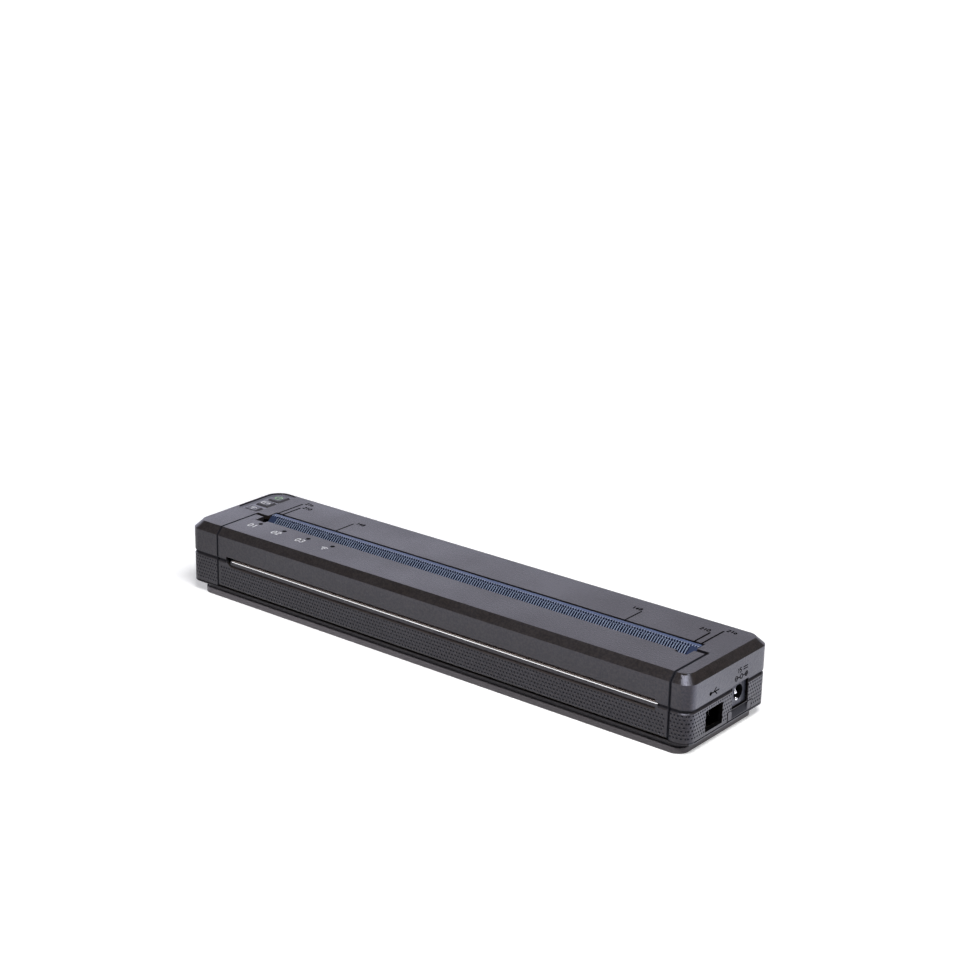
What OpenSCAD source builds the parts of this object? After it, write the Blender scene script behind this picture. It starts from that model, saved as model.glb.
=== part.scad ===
// Portable thermal printer for A4 paper.
// X runs along the length, -Y is the front with the exit slot, +Z is up.
// The origin is the middle of the rest face. All lengths are in millimetres.

/* [Body] */
// Length of the printer, end to end
body_len = 255; // [255:1:265]
// Depth of the printer, front to rear
body_dep = 55; // [55:0.5:60]
// Height of the printer
body_h = 31.2; // [31.2:0.1:33]
// Wall thickness of the cases
wall = 1.8; // [1.6:0.1:1.8]
// Radius of the upright corners
corner_r = 5; // [5:0.1:6]
// Drop of the bevel round the top
bevel_h = 3.2; // [2.8:0.1:3.6]
// Inward run of the bevel round the top
bevel_in = 2.9; // [2.4:0.1:2.9]
// Radius of the roof's corners, inside the bevel
top_corner_r = 4; // [3.6:0.1:4.2]
// Radius of the roof's corner behind the buttons
key_corner_r = 7; // [6.8:0.1:7.2]
// Height of the lower seam above the rest face
seam_z = 4.6; // [4.5:0.1:4.8]
// Height of the lower seam itself
seam_gap = 0.3; // [0.25:0.05:0.4]
// Height of the side groove above the rest face
groove_z = 17.1; // [16.9:0.1:17.2]
// Height of the side groove itself
groove_h = 1; // [0.8:0.1:1.2]
// Depth of the side groove
groove_dep = 0.6; // [0.4:0.1:0.7]
// Drop of the sloping ledge under the groove
ledge_h = 0.7; // [0.5:0.1:0.8]

/* [Base pan] */
// Height of the foot
foot_h = 2.4; // [2:0.1:2.6]
// Height of the band under the lower seam
band_h = 0.7; // [0.6:0.1:0.8]
// Inset of the foot at the left end
foot_in_left = 6.4; // [5.5:0.1:7]
// Inset of the foot at the right end
foot_in_right = 2.4; // [2.2:0.1:2.8]
// Inset of the foot at the front
foot_in_front = 0.2; // [0.2:0.1:0.5]
// Inset of the foot at the rear
foot_in_rear = 4.2; // [3.6:0.1:4.4]
// Inset of the neck above the foot
neck_in = 0.8; // [0.6:0.1:0.9]
// Thickness of the pan's floor
floor_t = 2.6; // [2.4:0.1:2.8]

/* [Release cover] */
// Mean distance of the cover's ends from the ends of the body
cover_in = 12.75; // [12:0.25:12.75]
// Offset of the cover's middle to the right
cover_shift = 4; // [3.8:0.1:4.2]
// Thickness of the cover
cover_t = 1.8; // [1.6:0.1:1.8]
// Gap between the cover and the case at its ends
cover_gap = 0.6; // [0.5:0.05:0.6]
// Distance of the cover's rear edge from the front face
cover_run = 20.1; // [19.8:0.1:20.4]
// Extra run of the two ears at the rear edge
ear_run = 3.3; // [2.8:0.1:3.4]
// Length of each ear along the cover
ear_len = 4.9; // [4.5:0.1:5]
// Length of each notch beside an ear
notch_len = 5.4; // [5:0.1:5.6]
// Depth of each notch
notch_run = 1.7; // [1.4:0.1:1.9]
// Depth of the stiffening flanges at the ends
flange_dep = 4; // [3.6:0.1:4.2]
// Thickness of the stiffening flanges
flange_t = 1.4; // [1.2:0.1:1.4]
// Radius of the hinge barrel along the lower edge
barrel_r = 1.3; // [1.2:0.05:1.35]
// Radius of the hinge pins
hinge_pin_r = 0.7; // [0.6:0.05:0.7]
// Length of a hinge pin
hinge_pin_len = 6.6; // [6:0.1:7]
// Radius of a status light's hole
light_r = 0.9; // [0.8:0.05:1]
// Number of status lights
light_count = 4; // [2:1:4]
// Distance between the status lights
light_pitch = 13.75; // [13:0.25:14]

/* [Exit slot] */
// Drop of the slot's top below the roof
slot_drop = 11.9; // [11.9:0.05:12]
// Clear height of the slot
slot_h = 1.1; // [1:0.05:1.2]
// Thickness of the tear bar
bar_t = 0.8; // [0.7:0.05:0.85]
// Height of the lip under the tear bar
nose_h = 1.25; // [1.1:0.05:1.4]
// Depth of the scoop under the lip
lip_dep = 0.8; // [0.6:0.1:0.9]
// Height of the scoop under the lip
lip_h = 1.25; // [1.1:0.05:1.4]
// Radius of the slot's rounded left end
slot_round = 2.6; // [2.2:0.1:2.7]

/* [Paper path] */
// Distance of the paper guide from the cover's left end
guide_in_left = 6; // [6:0.05:6.2]
// Distance of the paper guide from the cover's right end
guide_in_right = 5.6; // [5.6:0.05:5.8]
// Width of the guide's flat rim
rim_run = 2.5; // [2.3:0.1:2.6]
// Distance of the guide's ridge from the front face
ridge_run = 27.4; // [27.2:0.1:27.5]
// Fall of the ramp for each millimetre forward
ramp_fall_share = 0.8; // [0.78:0.01:0.8]
// Thickness of the ramp
ramp_t = 1.5; // [1.2:0.1:1.6]
// Distance between the ribs of the ramp
rib_pitch = 1.2; // [1.2:0.05:1.6]
// Width of a rib
rib_w = 0.55; // [0.4:0.05:0.6]
// Height of a rib
rib_h = 0.5; // [0.3:0.05:0.6]
// Distance of the platen's axis from the front face
platen_run = 10.3; // [10.1:0.1:10.3]
// Radius of the platen roller
platen_r = 4.9; // [4.8:0.05:4.9]
// Radius of the platen shaft
shaft_r = 2; // [1.8:0.1:2]
// Running gap between the platen and the print head
nip_gap = 0.1; // [0.05:0.05:0.15]

/* [Drive] */
// Module of the gears
gear_mod = 0.5; // [0.49:0.01:0.5]
// Teeth on the platen gear
platen_teeth = 18; // [17:1:18]
// Teeth on the idler gear
idler_teeth = 28; // [27:1:28]
// Teeth on the motor pinion
pinion_teeth = 12; // [12:1:13]
// Face width of the gears
gear_w = 2.4; // [2:0.1:2.4]
// Lift of the motor above the pan's floor
motor_lift = 3.5; // [3:0.1:4]
// Length of the motor
motor_len = 11; // [9:0.5:11]

/* [Print head] */
// Depth of the heat sink
sink_dep = 12.2; // [11.8:0.1:12.4]
// Thickness of the heat sink
sink_t = 3; // [2.6:0.1:3.2]
// Thickness of the ceramic head
head_t = 1.1; // [0.9:0.1:1.2]
// Radius of the head's pivot rod
rod_r = 1.2; // [1:0.1:1.3]
// Radius of the head springs
spring_r = 2.5; // [2:0.1:2.8]
// Thickness of the sheet steel
sheet_t = 1; // [0.8:0.1:1]

/* [Buttons] */
// Size of a button along the printer
button_w = 7; // [6.4:0.1:7.2]
// Size of the front button across the printer
front_button_d = 5.5; // [5:0.1:5.8]
// Size of the middle button across the printer
mid_button_d = 6; // [5.4:0.1:6.4]
// Size of the rear button across the printer
rear_button_d = 7.5; // [7:0.1:7.8]
// Depth of the recess round the buttons
recess_dep = 0.8; // [0.6:0.1:0.9]
// Travel of a button
button_travel = 0.35; // [0.25:0.05:0.35]

/* [Sockets] */
// Width of the data port's opening
port_w = 11.7; // [11:0.1:12]
// Height of the data port's opening
port_h = 8.7; // [8.4:0.1:9]
// Width of the power recess
power_w = 11; // [10.6:0.1:11]
// Height of the power recess
power_h = 9.7; // [9.4:0.1:9.8]
// Radius of the power jack's bore
jack_r = 3; // [2.8:0.05:3.1]
// Radius of the power jack's pin
jack_pin_r = 0.85; // [0.6:0.05:1]

/* [Battery] */
// Side of the battery stick
cell_w = 14.6; // [14:0.1:14.8]
// Distance of the battery stick from the left end
cell_in_left = 25.5; // [25:0.5:30]
// Distance of the battery stick from the right end
cell_in_right = 29.5; // [29:0.5:34]
// Thickness of the battery cover
door_t = 1.2; // [1:0.1:1.2]
// Travel of the battery cover
door_travel = 4; // [3:0.5:4]
// Width of the battery latch
latch_w = 16.2; // [15.4:0.1:16.2]
// Height of the battery latch
latch_h = 3.7; // [3.4:0.1:3.7]

/* [Hidden] */
$fn = 48;

// Clearances and the overrun of every cut
over = 1;
run_gap = 0.05;
seat_gap = 0.15;
loose_gap = 0.3;
wide_gap = 0.6;

// Faces of the body
front_y = -body_dep / 2;
rear_y = body_dep / 2;
left_x = -body_len / 2;
right_x = body_len / 2;
band_z = seam_z - band_h;
case_z = seam_z + seam_gap;
roof_z = body_h - wall;

// Ends, rear edge, underside and hinge of the cover
cover_x0 = left_x + cover_in + cover_shift;
cover_x1 = right_x - cover_in + cover_shift;
open_x0 = cover_x0 - cover_gap;
open_x1 = cover_x1 + cover_gap;
cover_rear = front_y + cover_run;
ear_rear = cover_rear + ear_run;
cover_under = body_h - cover_t;
finger_run = 2.1;
open_rear = ear_rear + finger_run;
hinge_y = front_y + barrel_r;
hinge_z = case_z + barrel_r;
pin_bite = (hinge_pin_len - cover_gap) / 2;
bulkhead_t = 0.9;
ease_share = 0.25;

// Exit slot and tear bar
slot_in_left = 4.75;
slot_in_right = 5.75;
slot_x0 = cover_x0 + slot_in_left;
slot_x1 = cover_x1 - slot_in_right;
slot_top_z = body_h - slot_drop;
slot_z = slot_top_z - slot_h;
bar_z = slot_z - bar_t;
bar_in_left = 3.1;
bar_out_right = 0.9;
bar_x0 = slot_x0 + bar_in_left;
bar_x1 = slot_x1 + bar_out_right;
bar_flange_h = 3.4;
bar_flange_t = 0.6;
bar_front = front_y + seat_gap;
bar_back = front_y + cover_t + bar_flange_t + run_gap;
nose_z = bar_z - nose_h;
scoop_edge = 0.25;

// Paper guide
guide_x0 = cover_x0 + guide_in_left;
guide_x1 = cover_x1 - guide_in_right;
guide_len = guide_x1 - guide_x0;
guide_mid = (guide_x0 + guide_x1) / 2;
guide_end = 3.2;
rim_drop = 0.1;
ridge_y = front_y + ridge_run;
ridge_z = body_h - rim_drop;
rim_rear = ridge_y + rim_run;
rim_gap = 1.2;
ramp_run = 12.1;
ramp_slope = sqrt(1 + ramp_fall_share * ramp_fall_share);
ramp_under = ramp_t * ramp_slope;
ramp_angle = atan(ramp_fall_share);
ramp_end_y = ridge_y - ramp_run;
ramp_end_z = ridge_z - ramp_run * ramp_fall_share;
skirt_t = 1.6;
skirt_h = 8;
rib_start = 0.8;

// Printer frame
ear_end = 0.15;
frame_x0 = guide_x0 - ear_end;
frame_x1 = guide_x1 + ear_end;
frame_in = 5.5;
frame_run = 25.9;
frame_front = front_y + frame_in;
frame_rear = front_y + frame_run;
upright_z = ridge_z - (ridge_y - frame_rear + sheet_t) * ramp_fall_share - ramp_under - seat_gap;

// Platen, level with the slot
paper_z = slot_top_z - slot_h / 2;
platen_y = front_y + platen_run;
platen_z = paper_z + platen_r;
bush_r = 3;
bush_flange = 0.6;
bracket_t = 1.3;
bracket_w = 8;
bracket_below = 4;
bracket_x0 = frame_x0 - seat_gap;
bracket_x1 = frame_x1 + seat_gap;
roller_in = 1.15;
shaft_end = 0.2;
seat_run = 4.6;
seat_low = paper_z - nip_gap - seat_gap;

// Gear train, from the platen down to the motor
press_angle = 20;
backlash_share = 0.12;
root_share = 1.25;
tip_share = 0.95;
flank_steps = 4;
gear_x1 = bracket_x0 - bracket_t - loose_gap;
gear_x0 = gear_x1 - gear_w;
idler_dir = -35;
pinion_dir = 198.2;
platen_pitch_r = gear_mod * platen_teeth / 2;
idler_pitch_r = gear_mod * idler_teeth / 2;
pinion_pitch_r = gear_mod * pinion_teeth / 2;
idler_y = platen_y + (platen_pitch_r + idler_pitch_r) * cos(idler_dir);
idler_z = platen_z + (platen_pitch_r + idler_pitch_r) * sin(idler_dir);
motor_y = idler_y + (idler_pitch_r + pinion_pitch_r) * cos(pinion_dir);
motor_z = idler_z + (idler_pitch_r + pinion_pitch_r) * sin(pinion_dir);
idler_tooth = idler_dir + 180 + 180 / idler_teeth;
idler_steps = (pinion_dir - idler_tooth) * idler_teeth / 360;
idler_part = idler_steps - round(idler_steps);
pinion_tooth = pinion_dir + 180 + (idler_part * 360 + 180) / pinion_teeth;
motor_r = motor_z - floor_t - motor_lift;
axle_r = 1.5;
collar_t = 0.6;
motor_shaft_r = 1;
plate_gap = 1.1;
plate_front = 6.5;
plate_rear = 4.6;
plate_up = 4.5;
plate_x1 = open_x0 - plate_gap;
plate_x0 = plate_x1 - sheet_t;

// Print head
sink_x = (frame_x0 + frame_x1) / 2;
sink_x0 = frame_x0 + sheet_t + seat_gap;
sink_x1 = frame_x1 - sheet_t - seat_gap;
sink_front = 4.4;
sink_y0 = platen_y - sink_front;
sink_y1 = sink_y0 + sink_dep;
head_top = paper_z - nip_gap;
head_z = head_top - head_t;
sink_z = head_z - sink_t;
head_in = 0.4;
head_dep = 10;
knuckle_r = 2.2;
knuckle_len = 12;
knuckle_shares = [-0.42, 0, 0.42];
rod_end = 0.5;
rod_y = frame_rear - sheet_t - loose_gap - knuckle_r;
rod_z = sink_z + rod_r;
spring_wall = 0.6;
spring_back = 0.8;
spring_shares = [-0.36, 0.04, 0.36];
spring_y = platen_y + spring_back;

// Foot and battery bay
foot_x0 = left_x + foot_in_left;
foot_x1 = right_x - foot_in_right;
foot_y0 = front_y + foot_in_front;
foot_y1 = rear_y - foot_in_rear;
pan_wall = 1.6;
pad_len = 14;
pad_w = 4;
pad_t = 0.6;
pad_in = 12;
pad_edge = 1;
pad_xs = [foot_x0 + pad_in + pad_len / 2, foot_x1 - pad_in - pad_len / 2];
pad_ys = [foot_y0 + pan_wall + pad_w / 2, foot_y1 - pad_w / 2 - pad_edge];
bay_run = 35.6;
cell_y = front_y + bay_run;
cell_x0 = left_x + cell_in_left;
cell_x1 = right_x - cell_in_right;
cell_len = cell_x1 - cell_x0;
door_lift = 0.3;
door_top = door_lift + door_t;
door_lap = 1.8;
door_w = cell_w + 2 * door_lap;
door_x0 = cell_x0 - door_lap;
door_x1 = cell_x1 + door_lap;
grip_in = 6;
grip_pitch = 2;
grip_w = 0.8;
grip_share = 0.25;
cell_z0 = door_top + seat_gap;
cell_count = 4;
wrap_t = 0.3;
cell_step = (cell_len - 2 * wrap_t) / cell_count;
contact_t = 0.6;
contact_h = 10;
stop_h = 4.2;
latch_run = 27.5;
latch_y0 = front_y + latch_run;
latch_y1 = latch_y0 + latch_w;
latch_mid = latch_y0 + latch_w / 2;
latch_t = 2;
latch_arm = 4;
latch_arm_w = 3;
latch_arm_h = 1.8;
scoop_in = 2.9;
scoop_lift = 0.3;
scoop_tilt = 14;

// Screws
screw_in = 7.5;
screw_in_left = 11.5;
screw_in_right = 8;
screw_mid = 45;
screw_y = rear_y - screw_in;
screw_xs = [left_x + screw_in_left, -screw_mid, screw_mid, right_x - screw_in_right];
screw_r = 1.2;
screw_head_r = 2.3;
screw_head_h = 1.3;
screw_sink = 0.7;
boss_r = 3;
boss_drop = 7.8;
boss_top = roof_z - boss_drop;
boss_cap = 1;
screw_top = boss_top - boss_cap;
short_screw_r = 1;
short_screw_head_r = 1.7;
short_screw_sink = 0.3;
short_screw_in = 20;
short_screw_front = 3;
short_screw_rear = 6.5;
short_screw_xs = [frame_x0 + short_screw_in, frame_x1 - short_screw_in];
short_screw_ys = [frame_front + short_screw_front, platen_y + short_screw_rear];

// Boards
board_t = 1.2;
board_drop = 4.8;
board_gap = 2.1;
board_edge = 1.2;
board_z = roof_z - board_drop;
board_in_left = 2.75;
board_in_right = 5.15;
board_x0 = guide_x0 + board_in_left;
board_x1 = guide_x1 - board_in_right;
board_mid = (board_x0 + board_x1) / 2;
board_y0 = rim_rear + board_gap;
board_y1 = rear_y - wall - board_edge;
post_r = 2;
post_in_left = 10;
post_off = 13;
post_in_right = 24;
post_xs = [board_x0 + post_in_left, board_mid - post_off, board_x1 - post_in_right];
post_ys = [board_y0 + boss_r, board_y1 - boss_r];
post_bore = 2.4;
chip_share = 0.033;
chip_x = board_mid + (board_x1 - board_x0) * chip_share;
chip_len = 12;
chip_step_share = 0.114;
chip_step = (board_x1 - board_x0) * chip_step_share;
chip_in = 4;
chip_h = 1.6;
can_r = 3;
can_share = 0.72;
can_h = (board_z - cell_z0 - cell_w) * can_share;
can_in = 38;
can_x = board_x0 + can_in;
can_step = 8;
radio_in = 16;
radio_x = board_x1 - radio_in;
radio_len = 12;
radio_w = 16;
radio_h = 2;

// Sockets
io_in = 3.4;
io_run = 11.4;
io_len = 31.6;
io_z1 = 18.5;
io_x = cover_x1 - io_in;
io_y0 = front_y + io_run;
port_run = 11.8;
port_lift = 1.2;
port_y0 = front_y + port_run;
port_z0 = case_z + port_lift;
port_body_w = 8.6;
port_body_h = 5;
port_body_lift = 1.9;
port_wall = 0.5;
port_set = 4.8;
port_round = 1;
port_front = right_x - port_set;
port_y = port_y0 + (port_w - port_body_w) / 2;
port_z = port_z0 + port_body_lift;
tongue_t = 1.2;
tongue_in = 1.5;
power_run = 29.7;
power_y0 = front_y + power_run;
power_z0 = case_z + latch_h + loose_gap;
jack_set = 0.9;
jack_rise = 0.5;
jack_face = right_x - jack_set;
jack_in = 0.3;
jack_dep = 9;
jack_pin_len = 7.5;
jack_y = power_y0 + power_w / 2;
jack_z = power_z0 + power_h / 2 + jack_rise;

// Buttons at the left end
recess_in = 1.2;
recess_w = 11.6;
recess_rim = 0.5;
recess_run = 26;
recess_rear = 3.2;
recess_r = 1.5;
recess_corner_r = key_corner_r - recess_rim;
recess_x1 = open_x0 - recess_in;
recess_x0 = recess_x1 - recess_w;
recess_y0 = front_y + recess_run;
recess_y1 = rear_y - recess_rear;
recess_floor = body_h - recess_dep;
button_in = 3;
front_button_run = 29.1;
mid_button_run = 37.2;
rear_button_run = 45.4;
front_button_y = front_y + front_button_run;
mid_button_y = front_y + mid_button_run;
rear_button_y = front_y + rear_button_run;
button_x0 = recess_x0 + button_in;
button_x = button_x0 + button_w / 2;
button_top = body_h - seat_gap;
button_rim = 0.5;
button_rim_t = 0.7;
button_edge = 0.6;
switch_w = 5;
switch_h = 3.2;
switch_stem_h = 0.6;
switch_stem_r = 1.4;
rim_z = roof_z - seat_gap - button_rim_t;
switch_z = rim_z - button_travel - run_gap * 2 - switch_stem_h - switch_h;
peg_r = 0.9;
peg_x = recess_x0 + peg_r;

// Status lights and paper sensor under the cover
light_in = 10.25;
light_run = 15.9;
light_x0 = cover_x0 + light_in;
light_y = front_y + light_run;
light_board_w = 3;
light_board_t = 1.2;
light_board_drop = 0.6;
light_board_in = 3;
light_board_out = 9;
light_board_z1 = cover_under - light_board_drop;
light_board_z0 = light_board_z1 - light_board_t;
light_x1 = light_x0 + light_pitch * (light_count - 1);
sensor_len = 6;
sensor_h = 2.6;

// Box between two corners
module slab(x0, x1, y0, y1, z0, z1) {
    translate([x0, y0, z0]) cube([x1 - x0, y1 - y0, z1 - z0]);
}

// Round bar along X
module xbar(x0, x1, y, z, r) {
    translate([x0, y, z]) rotate([0, 90, 0]) cylinder(r = r, h = x1 - x0);
}

// Outline in Y and Z, carried along X
module xform(x0, x1) {
    translate([x0, 0, 0]) rotate([90, 0, 90]) linear_extrude(x1 - x0) children();
}

// Outline in X and Z, carried along Y
module yform(y0, y1) {
    translate([0, y1, 0]) rotate([90, 0, 0]) linear_extrude(y1 - y0) children();
}

// Upright block with round corners
module plan(x0, x1, y0, y1, r, z0, z1) {
    slab(x0 + r, x1 - r, y0, y1, z0, z1);
    slab(x0, x1, y0 + r, y1 - r, z0, z1);
    for (x = [x0 + r, x1 - r], y = [y0 + r, y1 - r])
        translate([x, y, z0]) cylinder(r = r, h = z1 - z0);
}

// Upright block with the body's outline, drawn in by an inset
module body_plan(inset, z0, z1) {
    plan(left_x + inset, right_x - inset, front_y + inset, rear_y - inset,
        corner_r - inset, z0, z1);
}

// The same block with its top edge sloped inwards by a run over a drop. The corners of the
// top take their own radii, in turn from the rear right corner by the rear left one
module bevelled(inset, z0, z1, drop, run, radii) {
    x1 = right_x - inset;
    y1 = rear_y - inset;
    zb = z1 - drop;
    r = corner_r - inset;
    spots = [[x1 - r, y1 - r], [r - x1, y1 - r], [r - x1, r - y1], [x1 - r, r - y1]];
    body_plan(inset, z0, zb);
    difference() {
        intersection() {
            xform(-x1, x1) polygon([[-y1, zb], [y1, zb], [y1 - run, z1], [run - y1, z1]]);
            yform(-y1, y1) polygon([[-x1, zb], [x1, zb], [x1 - run, z1], [run - x1, z1]]);
        }
        for (i = [0:3]) translate([spots[i][0], spots[i][1], zb]) rotate([0, 0, i * 90])
            corner_cut(r, radii[i], run, drop);
    }
}
function even(r) = [for (i = [0:3]) r];

// What a round corner leaves of a square one, where the corner leans inwards as it rises
module corner_cut(r0, r1, run, drop) {
    lean = (run + r1 - r0) / drop;
    grow = (r1 - r0) / drop * seat_gap;
    multmatrix([[1, 0, -lean, 0], [0, 1, -lean, 0], [0, 0, 1, 0]]) difference() {
        translate([0, 0, -run_gap]) cube([r0 + r1, r0 + r1, drop + run_gap * 2]);
        translate([0, 0, -seat_gap])
            cylinder(r1 = r0 - grow, r2 = r1 + grow, h = drop + seat_gap * 2);
    }
}

// Half the angle of a tooth at a radius, from the involute of its flank
function inv(a) = tan(a) * 180 / PI - a;
function tooth_half(teeth, r) =
    let (pitch_r = gear_mod * teeth / 2, base_r = pitch_r * cos(press_angle))
    90 * (1 - backlash_share) / teeth + inv(press_angle)
        - inv(acos(min(1, base_r / max(r, base_r))));

// Spur gear along X, with a tooth at the given angle from +Y towards +Z
module gear(x0, x1, y, z, teeth, angle, bore_r) {
    pitch_r = gear_mod * teeth / 2;
    root_r = pitch_r - root_share * gear_mod;
    tip_r = pitch_r + tip_share * gear_mod;
    radii = [for (k = [0:flank_steps]) root_r + (tip_r - root_r) * k / flank_steps];
    outline = [for (i = [0:teeth - 1]) each concat(
        [for (r = radii) polar(r, angle + i * 360 / teeth - tooth_half(teeth, r))],
        [for (k = [flank_steps:-1:0])
            polar(radii[k], angle + i * 360 / teeth + tooth_half(teeth, radii[k]))])];
    difference() {
        translate([0, y, z]) xform(x0, x1) polygon(outline);
        xbar(x0 - over, x1 + over, y, z, bore_r);
    }
}
function polar(r, a) = [r * cos(a), r * sin(a)];

// Upper case: roof, ends and rear wall above the groove
module upper_case() color("#5d5b63") difference() {
    union() {
        difference() {
            union() {
                bevelled(0, groove_z + groove_h, body_h, bevel_h, bevel_in,
                    [top_corner_r, key_corner_r, top_corner_r, top_corner_r]);
                body_plan(groove_dep, groove_z, groove_z + groove_h);
            }
            bevelled(wall, groove_z - over, roof_z, bevel_h, bevel_in,
                even(corner_r - wall - bevel_in));
        }
        slab(open_x0 - bulkhead_t, open_x0, front_y + wall, open_rear + wall, groove_z, roof_z);
        slab(open_x1, open_x1 + bulkhead_t, front_y + wall, open_rear + wall, groove_z, roof_z);
        for (x = screw_xs) {
            translate([x, screw_y, groove_z]) cylinder(r = boss_r, h = boss_top - groove_z);
            slab(x - wall / 2, x + wall / 2, screw_y, rear_y - wall, groove_z, boss_top);
        }
        for (x = post_xs, y = post_ys)
            translate([x, y, board_z + board_t]) cylinder(r = post_r, h = roof_z - board_z - board_t);
        for (y = [front_button_y, rear_button_y])
            translate([peg_x, y, switch_z]) cylinder(r = peg_r, h = roof_z - switch_z);
    }
    slab(open_x0, open_x1, front_y - over, open_rear, groove_z - over, body_h + over);
    slab(guide_x0 - cover_gap, guide_x1 + cover_gap, open_rear - over, rim_rear + rim_gap,
        groove_z - over, body_h + over);
    difference() {
        plan(recess_x0, recess_x1, recess_y0, recess_y1, recess_r, recess_floor, body_h + over);
        translate([recess_x0 + recess_corner_r, recess_y1 - recess_corner_r, recess_floor])
            rotate([0, 0, 90]) corner_cut(recess_corner_r, recess_corner_r, 0, recess_dep + over);
    }
    button_hole(front_button_y, front_button_d);
    button_hole(mid_button_y, mid_button_d);
    button_hole(rear_button_y, rear_button_d);
    xbar(open_x0 - wall, open_x0 + over, idler_y, idler_z, axle_r + loose_gap);
    for (x = screw_xs) translate([x, screw_y, groove_z - over])
        cylinder(r = screw_r + run_gap, h = screw_top + loose_gap - groove_z + over);
    for (x = post_xs, y = post_ys)
        translate([x, y, board_z]) cylinder(r = short_screw_r + run_gap, h = board_t + post_bore);
    power_hole();
}
module button_hole(y, d) {
    slab(button_x0 - seat_gap, button_x0 + button_w + seat_gap, y - d / 2 - seat_gap,
        y + d / 2 + seat_gap, roof_z - wall, body_h + over);
}

// Lower case: dotted walls between the lower seam and the groove
module lower_case() color("#55535a") difference() {
    union() {
        difference() {
            bevelled(0, case_z, groove_z, ledge_h, groove_dep, even(corner_r));
            body_plan(wall, case_z - over, groove_z + over);
        }
        slab(open_x0 - bulkhead_t, open_x0, front_y + wall, open_rear + wall, case_z, groove_z);
        slab(open_x1, open_x1 + bulkhead_t, front_y + wall, open_rear + wall, case_z, groove_z);
        slab(open_x0 - pin_bite, open_x0, front_y + wall / 2, front_y + wall + hinge_pin_r * 2,
            case_z, hinge_z + barrel_r);
        slab(open_x1, open_x1 + pin_bite, front_y + wall / 2, front_y + wall + hinge_pin_r * 2,
            case_z, hinge_z + barrel_r);
        for (x = screw_xs) {
            translate([x, screw_y, case_z]) cylinder(r = boss_r, h = groove_z - case_z);
            slab(x - wall / 2, x + wall / 2, screw_y, rear_y - wall, case_z, groove_z);
        }
    }
    slab(open_x0, open_x1, front_y - over, front_y + wall + over, case_z - over, groove_z + over);
    xbar(open_x0 - pin_bite, open_x0 + over, hinge_y, hinge_z, hinge_pin_r + run_gap);
    xbar(open_x1 - over, open_x1 + pin_bite, hinge_y, hinge_z, hinge_pin_r + run_gap);
    xbar(open_x0 - wall, open_x0 + over, motor_y, motor_z, motor_shaft_r + loose_gap);
    xbar(open_x0 - wall, open_x0 + over, idler_y, idler_z, axle_r + loose_gap);
    slab(open_x1 - over, open_x1 + wall, port_y - seat_gap, port_y + port_body_w + seat_gap,
        port_z - seat_gap, port_z + port_body_h + seat_gap);
    port_hole();
    power_hole();
    slab(right_x - wall - over, right_x + over, latch_y0 - seat_gap, latch_y1 + seat_gap,
        case_z - over, case_z + latch_h + seat_gap);
    for (x = screw_xs) translate([x, screw_y, case_z - over])
        cylinder(r = screw_r + run_gap, h = groove_z - case_z + over * 2);
}
module port_hole() {
    x0 = right_x - wall - over;
    y1 = port_y0 + port_w;
    z1 = port_z0 + port_h;
    slab(x0, right_x + over, port_y0, y1, port_z0, z1 - port_round);
    slab(x0, right_x + over, port_y0 + port_round, y1 - port_round, port_z0, z1);
    for (y = [port_y0 + port_round, y1 - port_round])
        xbar(x0, right_x + over, y, z1 - port_round, port_round);
}
module power_hole() {
    slab(right_x - wall - over, right_x + over, power_y0, power_y0 + power_w, power_z0,
        power_z0 + power_h);
}

// Base pan: floor, foot and the band under the lower seam
module base_pan() color("#4a484e") difference() {
    union() {
        difference() {
            union() {
                plan(foot_x0, foot_x1, foot_y0, foot_y1, corner_r, 0, foot_h);
                plan(foot_x0 + neck_in, foot_x1 - neck_in, foot_y0 + neck_in, foot_y1 - neck_in,
                    corner_r - neck_in, foot_h, band_z);
                body_plan(0, band_z, seam_z);
            }
            plan(foot_x0 + pan_wall, foot_x1 - pan_wall, foot_y0 + pan_wall, foot_y1 - pan_wall,
                corner_r - pan_wall, floor_t, seam_z + over);
        }
        for (x = screw_xs) translate([x, screw_y, 0]) cylinder(r = boss_r, h = case_z);
        slab(cell_x1 + contact_t + loose_gap, cell_x1 + contact_t + wall, cell_y - cell_w / 2,
            cell_y + cell_w / 2, floor_t, floor_t + stop_h);
        slab(cell_x0 - contact_t - wall, cell_x0 - contact_t - loose_gap, cell_y - cell_w / 2,
            cell_y + cell_w / 2, floor_t, floor_t + stop_h);
    }
    slab(door_x0 - seat_gap - door_travel, door_x1 + seat_gap, cell_y - door_w / 2 - seat_gap,
        cell_y + door_w / 2 + seat_gap, -over, door_top + seat_gap);
    slab(cell_x0 - seat_gap, cell_x1 + seat_gap, cell_y - cell_w / 2 - seat_gap,
        cell_y + cell_w / 2 + seat_gap, 0, floor_t + over);
    for (x = screw_xs) translate([x, screw_y, -over]) {
        cylinder(r = screw_r + run_gap, h = case_z + over * 2);
        cylinder(r = screw_head_r + seat_gap, h = screw_sink + screw_head_h + over);
    }
    for (x = short_screw_xs, y = short_screw_ys) translate([x, y, -over]) {
        cylinder(r = short_screw_r + run_gap, h = floor_t + over * 2);
        cylinder(r = short_screw_head_r + seat_gap, h = short_screw_sink + screw_head_h + over);
    }
    for (x = pad_xs, y = pad_ys)
        slab(x - pad_len / 2 - seat_gap, x + pad_len / 2 + seat_gap, y - pad_w / 2 - seat_gap,
            y + pad_w / 2 + seat_gap, -over, pad_t);
}

// Rubber pads, let into the foot
module foot_pads() color("#222222") for (x = pad_xs, y = pad_ys)
    slab(x - pad_len / 2, x + pad_len / 2, y - pad_w / 2, y + pad_w / 2, 0, pad_t);

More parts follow.
